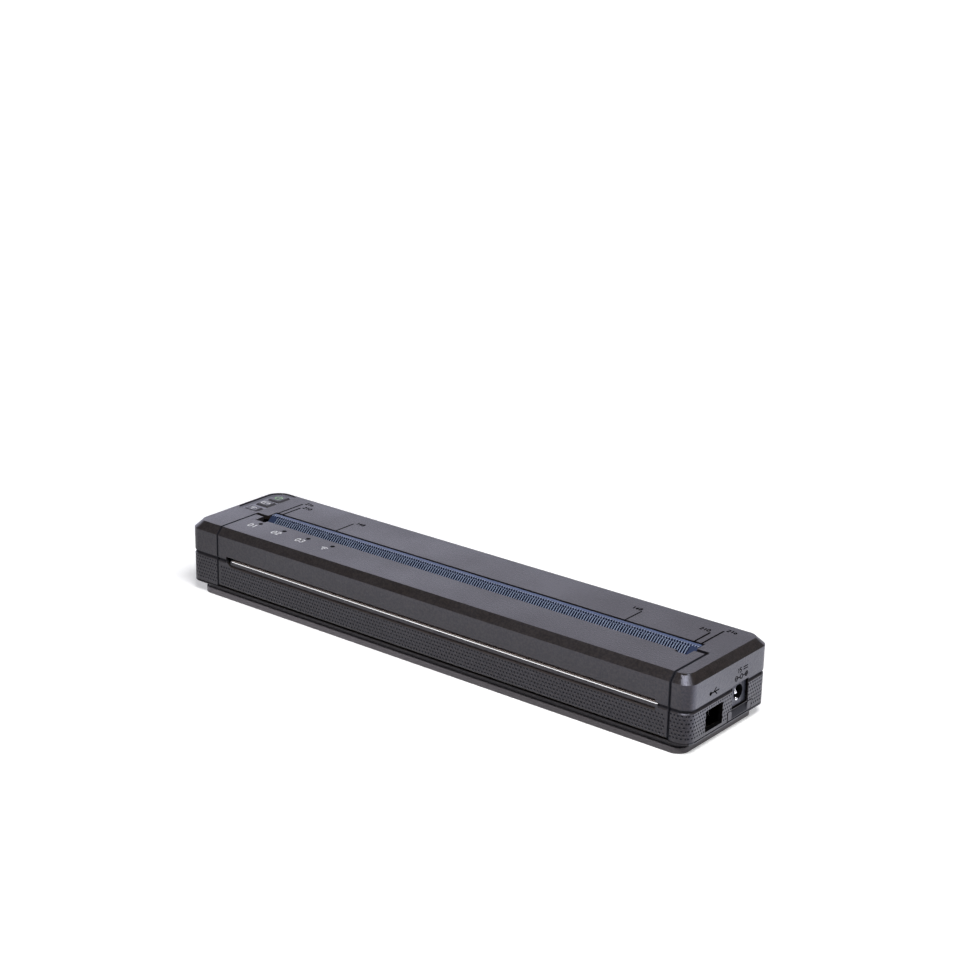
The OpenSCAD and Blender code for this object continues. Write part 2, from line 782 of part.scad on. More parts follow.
// Battery cover, slid to the left to free it
module battery_cover() color("#4e4c52") difference() {
    slab(door_x0, door_x1, cell_y - door_w / 2, cell_y + door_w / 2, door_lift, door_top);
    for (k = [0:2]) translate([door_x1 - grip_in - grip_pitch * k, 0, 0])
        slab(0, grip_w, cell_y - cell_w * grip_share, cell_y + cell_w * grip_share,
            door_lift - over, door_lift + grip_w / 2);
}

// Latch of the battery cover, with a scoop for a fingertip
module battery_latch() color("#5a585f") difference() {
    union() {
        slab(right_x - latch_t, right_x, latch_y0, latch_y1, case_z, case_z + latch_h);
        slab(right_x - latch_t - latch_arm, right_x - latch_t, latch_mid - latch_arm_w / 2,
            latch_mid + latch_arm_w / 2, case_z, case_z + latch_arm_h);
    }
    translate([right_x, 0, case_z + scoop_lift]) rotate([0, -scoop_tilt, 0])
        slab(0, latch_h, latch_y0 + scoop_in, latch_y1 - scoop_in, 0, latch_h * 2);
}

// Battery: round cells in a row inside a thin wrap
module battery_cells() color("#2f6f4f") for (i = [0:cell_count - 1])
    xbar(cell_x0 + wrap_t + i * cell_step, cell_x0 + wrap_t + (i + 1) * cell_step - loose_gap,
        cell_y, cell_z0 + cell_w / 2, cell_w / 2 - wrap_t - run_gap);
module battery_wrap() color("#1f2a44") difference() {
    slab(cell_x0, cell_x1, cell_y - cell_w / 2, cell_y + cell_w / 2, cell_z0, cell_z0 + cell_w);
    xbar(cell_x0 + wrap_t, cell_x1 - wrap_t, cell_y, cell_z0 + cell_w / 2, cell_w / 2 - wrap_t);
}
module battery_contacts() color("#c9a44a")
    for (x = [cell_x0 - contact_t - run_gap, cell_x1 + run_gap])
        slab(x, x + contact_t, cell_y - cell_w * grip_share, cell_y + cell_w * grip_share,
            floor_t, floor_t + contact_h);

// Screws
module screw(x, y, z, head_r, r, top) {
    translate([x, y, z]) cylinder(r = head_r, h = screw_head_h);
    translate([x, y, z]) cylinder(r = r, h = top - z);
}
module case_screws() color("#8a8a8e") for (x = screw_xs)
    screw(x, screw_y, screw_sink, screw_head_r, screw_r, screw_top);
module frame_screws() color("#8a8a8e") for (x = short_screw_xs, y = short_screw_ys)
    screw(x, y, short_screw_sink, short_screw_head_r, short_screw_r, floor_t + sheet_t);

// Release cover: top panel, bevel, front panel with the exit slot, hinge barrel
module cover_section(depth) {
    y0 = front_y;
    z1 = body_h;
    ease = depth * ease_share;
    polygon([[y0, hinge_z], [y0 + depth, hinge_z], [y0 + depth, z1 - bevel_h - ease],
        [y0 + bevel_in + ease, z1 - depth], [cover_rear, z1 - depth], [cover_rear, z1],
        [y0 + bevel_in, z1], [y0, z1 - bevel_h]]);
}
module release_cover() color("#5b5961") difference() {
    union() {
        xform(cover_x0, cover_x1) cover_section(cover_t);
        xform(cover_x0, cover_x0 + flange_t) cover_section(flange_dep);
        xform(cover_x1 - flange_t, cover_x1) cover_section(flange_dep);
        xbar(cover_x0, cover_x1, hinge_y, hinge_z, barrel_r);
        slab(cover_x0, cover_x0 + ear_len, cover_rear - over, ear_rear, cover_under, body_h);
        slab(cover_x1 - ear_len, cover_x1, cover_rear - over, ear_rear, cover_under, body_h);
        bracket(bracket_x0 - bracket_t);
        bracket(bracket_x1);
        for (x = [light_x0 - light_board_in / 2, light_x1 + light_board_out / 2])
            translate([x, light_y, light_board_z1])
            cylinder(r = light_r, h = light_board_drop + cover_t / 2);
    }
    slab(cover_x0 + ear_len, cover_x0 + ear_len + notch_len, cover_rear - notch_run,
        cover_rear + over, cover_under - over, body_h + over);
    slab(cover_x1 - ear_len - notch_len, cover_x1 - ear_len, cover_rear - notch_run,
        cover_rear + over, cover_under - over, body_h + over);
    slot_cut();
    xform(slot_x0 + slot_round, slot_x1) polygon([[front_y - over, nose_z - lip_h],
        [front_y, nose_z - lip_h], [front_y + lip_dep, nose_z - scoop_edge],
        [front_y + lip_dep, nose_z], [front_y - over, nose_z]]);
    side_groove(cover_x0 - over, slot_x0);
    side_groove(bar_x1 + seat_gap, cover_x1 + over);
    xbar(cover_x0 - over, cover_x0 + pin_bite, hinge_y, hinge_z, hinge_pin_r + run_gap);
    xbar(cover_x1 - pin_bite, cover_x1 + over, hinge_y, hinge_z, hinge_pin_r + run_gap);
    for (x = [bracket_x0 - bracket_t, bracket_x1])
        xbar(x - over, x + bracket_t + over, platen_y, platen_z, bush_r + run_gap);
    for (i = [0:light_count - 1]) translate([light_x0 + light_pitch * i, light_y, cover_under - over])
        cylinder(r = light_r, h = cover_t + over * 2);
}
// Exit slot with its round left end, and the seat of the tear bar
module slot_cut() {
    y0 = front_y - over;
    y1 = front_y + cover_t + over;
    slab(slot_x0, slot_x1, y0, y1, slot_z, slot_top_z);
    slab(bar_x0 - seat_gap, bar_x1 + seat_gap, y0, y1, bar_z, slot_z + run_gap);
    intersection() {
        slab(slot_x0, slot_x0 + slot_round, y0, y1, slot_z - slot_round, slot_z + run_gap);
        translate([slot_x0 + slot_round, y0, slot_z]) rotate([-90, 0, 0])
            cylinder(r = slot_round, h = y1 - y0);
    }
}
module side_groove(x0, x1) xform(x0, x1) polygon([[front_y - over, groove_z - ledge_h],
    [front_y, groove_z - ledge_h], [front_y + groove_dep, groove_z],
    [front_y + groove_dep, groove_z + groove_h], [front_y - over, groove_z + groove_h]]);
module bracket(x) {
    slab(x, x + bracket_t, platen_y - bracket_w / 2, platen_y + bracket_w / 2, platen_z,
        cover_under + cover_t / 2);
    xbar(x, x + bracket_t, platen_y, platen_z, bracket_below);
}

// Two pins carry the cover at the ends of its lower edge
module hinge_pins() color("#9a9aa0") for (x = [open_x0 - pin_bite, cover_x1 - pin_bite])
    xbar(x + run_gap, x + hinge_pin_len - run_gap, hinge_y, hinge_z, hinge_pin_r);

// Steel tear bar on the slot's lower lip
module tear_bar() color("#d8d8dc") xform(bar_x0, bar_x1) polygon([
    [bar_front, bar_z + run_gap], [bar_back - bar_flange_t, bar_z + run_gap],
    [bar_back - bar_flange_t, bar_z - bar_flange_h], [bar_back, bar_z - bar_flange_h],
    [bar_back, slot_z], [bar_front, slot_z]]);

// Status lights and their board under the cover
module light_lenses() color("#e8e8ea") for (i = [0:light_count - 1])
    translate([light_x0 + light_pitch * i, light_y, light_board_z1])
    cylinder(r = light_r - run_gap, h = body_h - run_gap - light_board_z1);
module light_board() color("#1f5a36")
    slab(light_x0 - light_board_in, light_x1 + light_board_out, light_y - light_board_w / 2,
        light_y + light_board_w / 2, light_board_z0, light_board_z1);

// Paper sensor, looking down at the paper
module paper_sensor() color("#1c1c1e")
    slab(guide_mid, guide_mid + sensor_len, light_y - light_board_w / 2,
        light_y + light_board_w / 2, cover_under - sensor_h, cover_under);

// Ribbed paper guide, sloping down to the platen
module paper_guide() color("#6a7a9a") {
    skirt_y = rim_rear - skirt_t;
    xform(guide_x0, guide_x1) polygon([[rim_rear, ridge_z], [ridge_y, ridge_z],
        [ridge_y, ridge_z - rib_h * ramp_slope], [ramp_end_y, ramp_end_z - rib_h * ramp_slope],
        [ramp_end_y, ramp_end_z - ramp_under], [ridge_y, ridge_z - ramp_under],
        [skirt_y, ridge_z - ramp_under], [skirt_y, ridge_z - skirt_h], [rim_rear, ridge_z - skirt_h]]);
    for (x = [guide_x0, guide_x1 - guide_end]) xform(x, x + guide_end) polygon([[ridge_y, ridge_z],
        [ridge_y, ridge_z - ramp_under], [ramp_end_y, ramp_end_z - ramp_under], [ramp_end_y, ramp_end_z]]);
    translate([0, ridge_y, ridge_z]) rotate([ramp_angle, 0, 0]) ribs();
}
module ribs() {
    count = floor((guide_len - 2 * guide_end) / rib_pitch);
    first_x = guide_mid - (count - 1) * rib_pitch / 2;
    last_x = first_x + (count - 1) * rib_pitch;
    comb = [for (i = [0:count - 1], side = [-1, 1], rise = [side, -side])
        [first_x + i * rib_pitch + side * rib_w / 2, rise < 0 ? -rib_h : 0]];
    yform(rib_h - ramp_run * ramp_slope, -rib_start) polygon(concat(
        [[first_x - rib_w, -rib_h - ramp_t / 2], [first_x - rib_w, -rib_h]], comb,
        [[last_x + rib_w, -rib_h], [last_x + rib_w, -rib_h - ramp_t / 2]]));
}

// Platen: steel shaft, rubber sleeve, bushes in the cover's brackets, gear
module platen_shaft() color("#b8b8bc")
    xbar(gear_x0 - shaft_end, bracket_x1 + bracket_t + bush_flange, platen_y, platen_z, shaft_r);
module platen_roller() color("#2a2a2c") difference() {
    xbar(guide_x0 + roller_in, guide_x1 - roller_in, platen_y, platen_z, platen_r);
    xbar(guide_x0, guide_x1, platen_y, platen_z, shaft_r);
}
module platen_bushes() color("#d9d4c4") {
    bush(bracket_x0 - bracket_t + run_gap, bracket_x0 - run_gap);
    bush(bracket_x1 + run_gap, bracket_x1 + bracket_t - run_gap);
}
module bush(x0, x1) difference() {
    xbar(x0, x1, platen_y, platen_z, bush_r);
    xbar(x0 - over, x1 + over, platen_y, platen_z, shaft_r + run_gap);
}
module platen_gear() color("#e6e2d6") gear(gear_x0, gear_x1, platen_y, platen_z, platen_teeth,
    idler_dir, shaft_r);

// Idler gear on its axle, pinion and motor
module idler_gear() color("#e6e2d6") gear(gear_x0, gear_x1, idler_y, idler_z, idler_teeth,
    idler_tooth, axle_r + run_gap);
module idler_axle() color("#b8b8bc") {
    xbar(plate_x0, gear_x1 + collar_t, idler_y, idler_z, axle_r);
    xbar(gear_x1 + run_gap, gear_x1 + collar_t, idler_y, idler_z, axle_r + collar_t);
    xbar(gear_x0 - collar_t, gear_x0 - run_gap, idler_y, idler_z, axle_r + collar_t);
}
module motor_pinion() color("#c9a44a") gear(gear_x0, gear_x1, motor_y, motor_z, pinion_teeth,
    pinion_tooth, motor_shaft_r);
module motor_shaft() color("#b8b8bc")
    xbar(plate_x0 + run_gap, gear_x1 + collar_t, motor_y, motor_z, motor_shaft_r);
module stepper_motor() color("#8f9096")
    xbar(plate_x0 - motor_len, plate_x0, motor_y, motor_z, motor_r);
module motor_plate() color("#a9a9ae") difference() {
    slab(plate_x0, plate_x1, motor_y - plate_front, idler_y + plate_rear, floor_t, idler_z + plate_up);
    xbar(plate_x0 - over, plate_x1 + over, motor_y, motor_z, motor_shaft_r + loose_gap);
    xbar(plate_x0 - over, plate_x1 + over, idler_y, idler_z, axle_r);
}

// Printer frame: sheet steel channel with an ear at each end
module printer_frame() color("#b4b4b8") difference() {
    union() {
        slab(frame_x0, frame_x1, frame_front, frame_rear, floor_t, floor_t + sheet_t);
        slab(frame_x0, frame_x1, frame_rear - sheet_t, frame_rear, floor_t, upright_z);
        frame_ear(frame_x0);
        frame_ear(frame_x1 - sheet_t);
    }
    for (x = [frame_x0, frame_x1 - sheet_t]) {
        xbar(x - over, x + sheet_t + over, rod_y, rod_z, rod_r + run_gap);
        xbar(x - over, x + sheet_t + over, platen_y, platen_z, shaft_r + loose_gap);
    }
    for (x = short_screw_xs, y = short_screw_ys)
        translate([x, y, floor_t - over]) cylinder(r = short_screw_r + run_gap, h = sheet_t + over * 2);
}
module frame_ear(x) xform(x, x + sheet_t) polygon([[frame_front, floor_t], [frame_rear, floor_t],
    [frame_rear, rod_z + knuckle_r], [rod_y - knuckle_r, seat_low], [platen_y + seat_run, seat_low],
    [platen_y + seat_run, platen_z - wide_gap], [platen_y, platen_z - wide_gap],
    [platen_y, seat_low - bush_r], [frame_front, sink_z]]);

// Print head: ceramic strip on an aluminium heat sink that tips on a rod
module heat_sink() color("#c4c6ca") difference() {
    union() {
        slab(sink_x0, sink_x1, sink_y0, sink_y1, sink_z, head_z);
        for (s = knuckle_shares) {
            xbar(sink_x + s * guide_len - knuckle_len / 2, sink_x + s * guide_len + knuckle_len / 2,
                rod_y, rod_z, knuckle_r);
            slab(sink_x + s * guide_len - knuckle_len / 2, sink_x + s * guide_len + knuckle_len / 2,
                sink_y1 - over, rod_y, sink_z, sink_z + sink_t - wide_gap);
        }
    }
    xbar(frame_x0, frame_x1, rod_y, rod_z, rod_r + run_gap);
}
module print_head() color("#e9e4d8")
    slab(sink_x0 + head_in, sink_x1 - head_in, sink_y0 + head_in, sink_y0 + head_in + head_dep,
        head_z, head_top);
module head_rod() color("#9a9aa0")
    xbar(frame_x0 - rod_end, frame_x1 + rod_end, rod_y, rod_z, rod_r);
module head_springs() color("#8c8c90") for (s = spring_shares)
    translate([sink_x + s * guide_len, spring_y, floor_t + sheet_t]) difference() {
        cylinder(r = spring_r, h = sink_z - floor_t - sheet_t);
        translate([0, 0, -over]) cylinder(r = spring_r - spring_wall, h = sink_z);
    }

// Main board under the roof, with its chips, radio module and screws
module main_board() color("#1f5a36") difference() {
    slab(board_x0, board_x1, board_y0, board_y1, board_z, board_z + board_t);
    for (x = post_xs, y = post_ys)
        translate([x, y, board_z - over]) cylinder(r = short_screw_r + run_gap, h = board_t + over * 2);
}
module board_chips() color("#232326") {
    for (i = [0:2]) slab(chip_x + i * chip_step, chip_x + i * chip_step + chip_len, board_y0 + chip_in,
        board_y0 + chip_in + chip_len, board_z - chip_h, board_z);
    for (i = [0:1]) translate([can_x + i * can_step, board_y0 + chip_len, board_z - can_h])
        cylinder(r = can_r, h = can_h);
}
module wireless_module() color("#b9bcc2")
    slab(radio_x, radio_x + radio_len, board_y0 + wide_gap, board_y0 + radio_w, board_z + board_t,
        board_z + board_t + radio_h);
module board_screws() color("#8a8a8e") for (x = post_xs, y = post_ys) {
    translate([x, y, board_z - screw_head_h]) {
        cylinder(r = post_r, h = screw_head_h);
        cylinder(r = short_screw_r, h = screw_head_h + board_t + post_bore - loose_gap);
    }
}

// Sockets on an upright board at the right end
module io_board() color("#1f5a36") slab(io_x - board_t, io_x, io_y0, io_y0 + io_len, seam_z, io_z1);
module data_port() color("#c4c6ca") difference() {
    slab(io_x, port_front, port_y, port_y + port_body_w, port_z, port_z + port_body_h);
    slab(io_x + port_wall, port_front + over, port_y + port_wall, port_y + port_body_w - port_wall,
        port_z + port_wall, port_z + port_body_h - port_wall);
}
module data_tongue() color("#1c1c1e")
    slab(io_x + port_wall, port_front - wide_gap, port_y + tongue_in, port_y + port_body_w - tongue_in,
        port_z + (port_body_h - tongue_t) / 2, port_z + (port_body_h + tongue_t) / 2);
module power_jack() color("#9b9ca2") difference() {
    slab(io_x, jack_face, power_y0 + jack_in, power_y0 + power_w - jack_in, power_z0 + jack_in,
        power_z0 + power_h - jack_in);
    xbar(jack_face - jack_dep, jack_face + over, jack_y, jack_z, jack_r);
}
module power_pin() color("#d0d0d4")
    xbar(jack_face - jack_dep, jack_face - jack_dep + jack_pin_len, jack_y, jack_z, jack_pin_r);

// Button board, its switches and the three buttons
module button_board() color("#1f5a36")
    slab(recess_x0, recess_x1, recess_y0 + wide_gap, recess_y1 - wide_gap,
        switch_z - board_t, switch_z);
module button_switches() color("#2b2b2e")
    for (y = [front_button_y, mid_button_y, rear_button_y]) {
        translate([button_x, y, switch_z]) {
            translate([-switch_w / 2, -switch_w / 2, 0]) cube([switch_w, switch_w, switch_h]);
            cylinder(r = switch_stem_r, h = switch_h + switch_stem_h);
        }
    }
module button(y, d) {
    hull() {
        slab(button_x0, button_x0 + button_w, y - d / 2, y + d / 2, rim_z, button_top - button_edge);
        slab(button_x0 + button_edge, button_x0 + button_w - button_edge, y - d / 2 + button_edge,
            y + d / 2 - button_edge, rim_z, button_top);
    }
    slab(button_x0 - button_rim, button_x0 + button_w + button_rim, y - d / 2 - button_rim,
        y + d / 2 + button_rim, rim_z, rim_z + button_rim_t);
}
module power_button() color("#6a6870") button(rear_button_y, rear_button_d);
module feed_button() color("#6a6870") button(mid_button_y, mid_button_d);
module wireless_button() color("#6a6870") button(front_button_y, front_button_d);

upper_case();
lower_case();
base_pan();
foot_pads();
battery_cover();
battery_latch();
battery_cells();
battery_wrap();
battery_contacts();
case_screws();
frame_screws();
release_cover();
hinge_pins();
tear_bar();
light_lenses();
light_board();
paper_sensor();
paper_guide();
platen_shaft();
platen_roller();
platen_bushes();
platen_gear();
idler_gear();
idler_axle();
motor_pinion();
motor_shaft();
stepper_motor();
motor_plate();
printer_frame();
heat_sink();
print_head();
head_rod();
head_springs();
main_board();
board_chips();
wireless_module();
board_screws();
io_board();
data_port();
data_tongue();
power_jack();
power_pin();
button_board();
button_switches();
power_button();
feed_button();
wireless_button();
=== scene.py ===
"""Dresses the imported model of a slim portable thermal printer.

Sizes are in millimetres in the printer's own frame: X along its length towards
the sockets, -Y out of the front, Z up from the rest face. They become metres
when a mesh is made.
"""

import logging
import math
from dataclasses import dataclass, field
from enum import Enum
from typing import Callable, Optional, Sequence, Union

import bmesh
import bpy
import numpy as np
from mathutils import Matrix, Vector


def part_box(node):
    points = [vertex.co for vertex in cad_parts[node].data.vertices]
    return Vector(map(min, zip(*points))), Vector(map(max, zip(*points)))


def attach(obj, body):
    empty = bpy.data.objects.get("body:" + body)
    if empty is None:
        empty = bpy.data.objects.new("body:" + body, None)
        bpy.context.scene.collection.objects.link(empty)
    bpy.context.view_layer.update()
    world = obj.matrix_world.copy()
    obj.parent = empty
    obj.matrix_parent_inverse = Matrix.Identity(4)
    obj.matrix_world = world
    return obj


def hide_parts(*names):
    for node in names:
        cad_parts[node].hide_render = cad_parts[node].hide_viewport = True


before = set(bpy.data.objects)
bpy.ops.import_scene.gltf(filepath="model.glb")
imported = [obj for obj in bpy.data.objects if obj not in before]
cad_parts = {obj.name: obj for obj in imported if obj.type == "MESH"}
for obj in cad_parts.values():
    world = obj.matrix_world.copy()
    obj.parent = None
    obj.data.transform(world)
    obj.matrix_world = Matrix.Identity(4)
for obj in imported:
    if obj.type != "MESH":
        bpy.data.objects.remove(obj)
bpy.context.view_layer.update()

LOG = logging.getLogger("printer")
MM = 0.001
OPEN = math.inf
Colour = tuple[float, float, float]
Span = tuple[float, float]
Socket = bpy.types.NodeSocket
Value = Union[float, Colour, Socket]
Fade = tuple[float, float, float, float]


def srgb(red: int, green: int, blue: int) -> Colour:
    """Linear colour of an 8-bit display colour.

    Args:
        red, green, blue: the display values, 0 to 255.

    Returns:
        The three linear values.
    """
    display = np.array((red, green, blue)) / 255.0
    linear = np.where(display <= 0.04045, display / 12.92, ((display + 0.055) / 1.055) ** 2.4)
    return tuple(float(value) for value in linear)


def scale_colour(colour: Colour, factor: float, lift: float = 0.0) -> Colour:
    """Multiplies a colour by a factor and adds a lift to it."""
    return tuple(part * factor + lift for part in colour)


class Body(Enum):
    """The moving bodies that the scene's own pieces ride on."""

    CASE = "case"
    COVER = "cover"
    POWER = "power_key"
    FEED = "feed_key"
    WIRELESS = "wireless_key"
    DOOR = "battery_door"
    LATCH = "door_latch"


# ---------------- nodes


class Nodes:
    """A node tree, with short calls that add its nodes and join them."""

    def __init__(self, tree: bpy.types.NodeTree) -> None:
        """Takes the tree and adds a Texture Coordinate node to it."""
        self.tree = tree
        self.texture = tree.nodes.new("ShaderNodeTexCoord")

    def fill(self, node: bpy.types.Node, inputs: dict) -> None:
        """Joins a node's inputs, told by name or number, to sockets, or sets their numbers or colours."""
        for key, value in inputs.items():
            socket = node.inputs[key]
            if isinstance(value, Socket):
                self.tree.links.new(value, socket)
            else:
                socket.default_value = (*value, 1.0) if socket.type == "RGBA" else value

    def add(self, kind: str, inputs: dict, output: Union[int, str] = 0, **options: str) -> Socket:
        """Adds a node.

        Args:
            kind: its type.
            inputs: a value for each input's name or number.
            output: the name or number of the output that is wanted.
            **options: its other settings.

        Returns:
            That output.
        """
        node = self.tree.nodes.new(kind)
        for key, value in options.items():
            setattr(node, key, value)
        self.fill(node, inputs)
        return node.outputs[output]

    def math(self, operation: str, *values: Value) -> Socket:
        """Adds a Math node and gives its output."""
        return self.add("ShaderNodeMath", dict(enumerate(values)), operation=operation)

    def minus(self, value: Value, other: Value) -> Socket:
        """Takes the other value from the first."""
        return self.math("SUBTRACT", value, other)

    def times(self, first: Value, *others: Value) -> Socket:
        """Multiplies values, one after another."""
        for value in others:
            first = self.math("MULTIPLY", first, value)
        return first

    def reach(self, one: Value, other: Value) -> Socket:
        """Length of a slanting line: the root of the sum of both runs' squares."""
        return self.math("SQRT", self.math("ADD", self.math("POWER", one, 2.0), self.math("POWER", other, 2.0)))

    def off(self, value: Value, first: float, pitch: float) -> Socket:
        """Distance from the nearest place in a row: the run since the last gap's middle, less half a pitch."""
        along = self.math("FLOORED_MODULO", self.minus(value, first - pitch / 2), pitch)
        return self.math("ABSOLUTE", self.minus(along, pitch / 2))

    def ramp(self, value: Value, low: float, high: float, start: float = 0.0, end: float = 1.0,
             kind: str = "SMOOTHSTEP") -> Socket:
        """Adds a change from a start to an end as the value goes from low to high, held beyond both."""
        inputs = {"Value": value, "From Min": low, "From Max": high, "To Min": start, "To Max": end}
        return self.add("ShaderNodeMapRange", inputs, interpolation_type=kind)

    def step(self, value: Value, low: float, high: float) -> Socket:
        """Adds a smooth step: 0 below low, 1 above high (or the reverse where low is the larger)."""
        return self.ramp(value, low, high) if low < high else self.ramp(value, high, low, 1.0, 0.0)

    def scaled(self, value: Value, low: float, high: float, start: float = 0.0, end: float = 1.0) -> Socket:
        """Adds a straight change from a start to an end."""
        return self.ramp(value, low, high, start, end, "LINEAR")

    def noise(self, size_mm: float, detail: float = 2.0, rough: float = 0.5,
              stretch: Colour = (1.0, 1.0, 1.0)) -> Socket:
        """Adds noise on Object coordinates.

        Args:
            size_mm: the width of one grain.
            detail, rough: the noise's own settings.
            stretch: how much longer a grain is along each axis.

        Returns:
            The noise's factor, about 0.3 to 0.7.
        """
        place = self.add("ShaderNodeMapping", {"Vector": self.texture.outputs["Object"],
                                               "Scale": tuple(1.0 / part for part in stretch)})
        return self.add("ShaderNodeTexNoise", {"Vector": place, "Scale": 1.0 / (size_mm * MM),
                                               "Detail": detail, "Roughness": rough}, "Fac")

    def split(self, vector: Socket) -> bpy.types.bpy_prop_collection:
        """Splits a vector into its three numbers."""
        return self.add("ShaderNodeSeparateXYZ", {0: vector}).node.outputs

    def place(self) -> tuple[Socket, Socket, Socket]:
        """Gives the X, Y and Z of a point in millimetres."""
        inputs = {0: self.texture.outputs["Object"], "Scale": 1.0 / MM}
        return tuple(self.split(self.add("ShaderNodeVectorMath", inputs, operation="SCALE")))

    def mix(self, factor: Value, first: Value, second: Value) -> Socket:
        """Mixes two colours: the first at 0, the second at 1."""
        return self.add("ShaderNodeMix", {0: factor, 6: first, 7: second}, 2, data_type="RGBA")


class Graph(Nodes):
    """The nodes of a material around its Principled shader."""

    def __init__(self, name: str, colour: Colour) -> None:
        """Makes the material, with a colour for solid view."""
        self.material = bpy.data.materials.new(name)
        self.material.use_nodes = True
        self.material.diffuse_color = (*colour, 1.0)
        super().__init__(self.material.node_tree)
        self.shader = self.tree.nodes["Principled BSDF"]

    def bump(self, height: Value, depth_mm: float) -> None:
        """Raises the surface by a height of 0 to 1, over any bump that is there already."""
        normal = self.shader.inputs["Normal"]
        below = {"Normal": normal.links[0].from_socket} if normal.is_linked else {}
        inputs = {"Height": height, "Distance": depth_mm * MM, "Strength": 1.0, **below}
        self.fill(self.shader, {"Normal": self.add("ShaderNodeBump", inputs)})

    def set(self, **values: Value) -> None:
        """Sets the shader's sockets by name, with an underscore for a space."""
        self.fill(self.shader, {key.replace("_", " "): value for key, value in values.items()})


# ---------------- masks by place


Mask = Callable[[Graph], Socket]


def both(*masks: Mask) -> Mask:
    """Gives a mask that is the product of others."""
    return lambda graph: graph.times(*(mask(graph) for mask in masks))


@dataclass(frozen=True)
class Region:
    """A box with soft sides, open towards any side without a limit."""

    x: Span = (-OPEN, OPEN)
    y: Span = (-OPEN, OPEN)
    z: Span = (-OPEN, OPEN)
    soft: float = 0.08

    def __call__(self, graph: Graph) -> Socket:
        """Works out 1 inside and 0 outside: the product of one step for each limit."""
        return graph.times(*(
            graph.step(value, outside, limit)
            for value, (low, high) in zip(graph.place(), (self.x, self.y, self.z))
            for limit, outside in ((low, low - self.soft), (high, high + self.soft)) if math.isfinite(limit)))


@dataclass(frozen=True)
class Disc:
    """A round spot across two of the axes, repeated along the first one where it has a pitch."""

    axes: tuple[int, int]
    middle: Span
    edge: Span
    pitch: float = 0.0

    def __call__(self, graph: Graph) -> Socket:
        """Works out 1 inside and 0 outside, by the distance from the nearest middle."""
        along, across = (graph.place()[axis] for axis in self.axes)
        first, other = self.middle
        run = graph.off(along, first, self.pitch) if self.pitch else graph.minus(along, first)
        return graph.step(graph.reach(run, graph.minus(across, other)), *self.edge)


@dataclass(frozen=True)
class DimpleField:
    """Rows of small dimples on the upright walls, every other row shifted by half a pitch."""

    pitch: float = 1.5
    first_row: float = 6.7
    last_row: float = 16.0
    radius: float = 0.42
    depth: float = 0.3
    # Dimples are painted darker, to this share of the colour, as painted shade in the pits.
    shade: float = 0.1
    dull: float = 0.6
    x_limits: Span = (-200.0, 200.0)
    steepest: float = 0.3

    def __call__(self, graph: Graph) -> Socket:
        """Works out 1 in a dimple and 0 beside it.

        The run along the wall is X on the front and rear and Y on the ends. A
        point's distance to the middle of its own lattice cell, in both
        directions, gives the dimple.

        Args:
            graph: the material that gets the nodes.

        Returns:
            The mask.
        """
        x, y, z = graph.place()
        facing = [graph.math("ABSOLUTE", part) for part in graph.split(graph.texture.outputs["Normal"])]
        on_end = graph.math("GREATER_THAN", facing[0], facing[1])
        run = graph.math("ADD", graph.times(on_end, y), graph.times(graph.minus(1.0, on_end), x))
        level = graph.math("DIVIDE", graph.minus(z, self.first_row), self.pitch)
        row = graph.math("ROUND", level)
        shift = graph.times(graph.math("FLOORED_MODULO", row, 2.0), 0.5)
        along = graph.math("ADD", graph.math("DIVIDE", run, self.pitch), shift)
        distance = graph.reach(graph.minus(along, graph.math("ROUND", along)), graph.minus(level, row))
        dot = graph.step(graph.times(distance, self.pitch), self.radius * 1.25, self.radius * 0.7)
        above = [graph.math("GREATER_THAN", value, limit)
                 for value, limit in ((z, self.first_row - self.pitch / 2), (x, self.x_limits[0]))]
        below = [graph.math("LESS_THAN", value, limit)
                 for value, limit in ((z, self.last_row), (x, self.x_limits[1]), (facing[2], self.steepest))]
        return graph.times(dot, *above, *below)


@dataclass(frozen=True)
class RibValleyShade:
    """Everything beside the crests of the paper guide's ribs, where painted shade goes."""

    first: float = -100.8
    pitch: float = 1.2
    crest: Span = (0.19, 0.24)
    fall: float = 0.8
    slope_top: float = 31.18
    ridge_top: float = 31.1
    floor: Span = (-0.02, -0.1)
    slope_start: Span = (-0.65, -0.75)
    stripes_start: Span = (0.6, 0.5)

    def __call__(self, graph: Graph) -> Socket:
        """Works out 0 on the crests and the rim, 1 beside them.

        The tops lie on a plane that falls forward from the flat ridge, so the
        height over that plane tells a valley from a top. On a top, the distance
        from the rib's middle line leaves only the narrow crest.

        Args:
            graph: the material that gets the nodes.

        Returns:
            The mask.
        """
        x, y, z = graph.place()
        tops = graph.math("MINIMUM", graph.math("MULTIPLY_ADD", y, self.fall, self.slope_top), self.ridge_top)
        deep = graph.times(graph.step(graph.minus(z, tops), *self.floor), graph.step(y, *self.slope_start))
        beside = graph.step(graph.off(x, self.first, self.pitch), *self.crest)
        return graph.math("MAXIMUM", deep, graph.times(beside, graph.step(y, *self.stripes_start)))


@dataclass(frozen=True)
class Inset:
    """Everything that lies inside the case's walls, whose plan is a rounded rectangle."""

    core: Span = (122.5, 22.5)
    corner: float = 5.0
    sunk: Span = (-0.04, -0.12)

    def __call__(self, graph: Graph) -> Socket:
        """Works out 1 inside and 0 on the walls, by the distance to the rectangle of the corner centres."""
        beyond = (graph.math("MAXIMUM", graph.minus(graph.math("ABSOLUTE", value), half), 0.0)
                  for value, half in zip(graph.place(), self.core))
        return graph.step(graph.minus(graph.reach(*beyond), self.corner), *self.sunk)


@dataclass(frozen=True)
class Zone:
    """A part of a surface, told by its place, that gets a colour of its own and may be duller; most zones are
    painted light or painted shade.
    """

    mask: Mask
    colour: Colour
    dull: float = 0.0


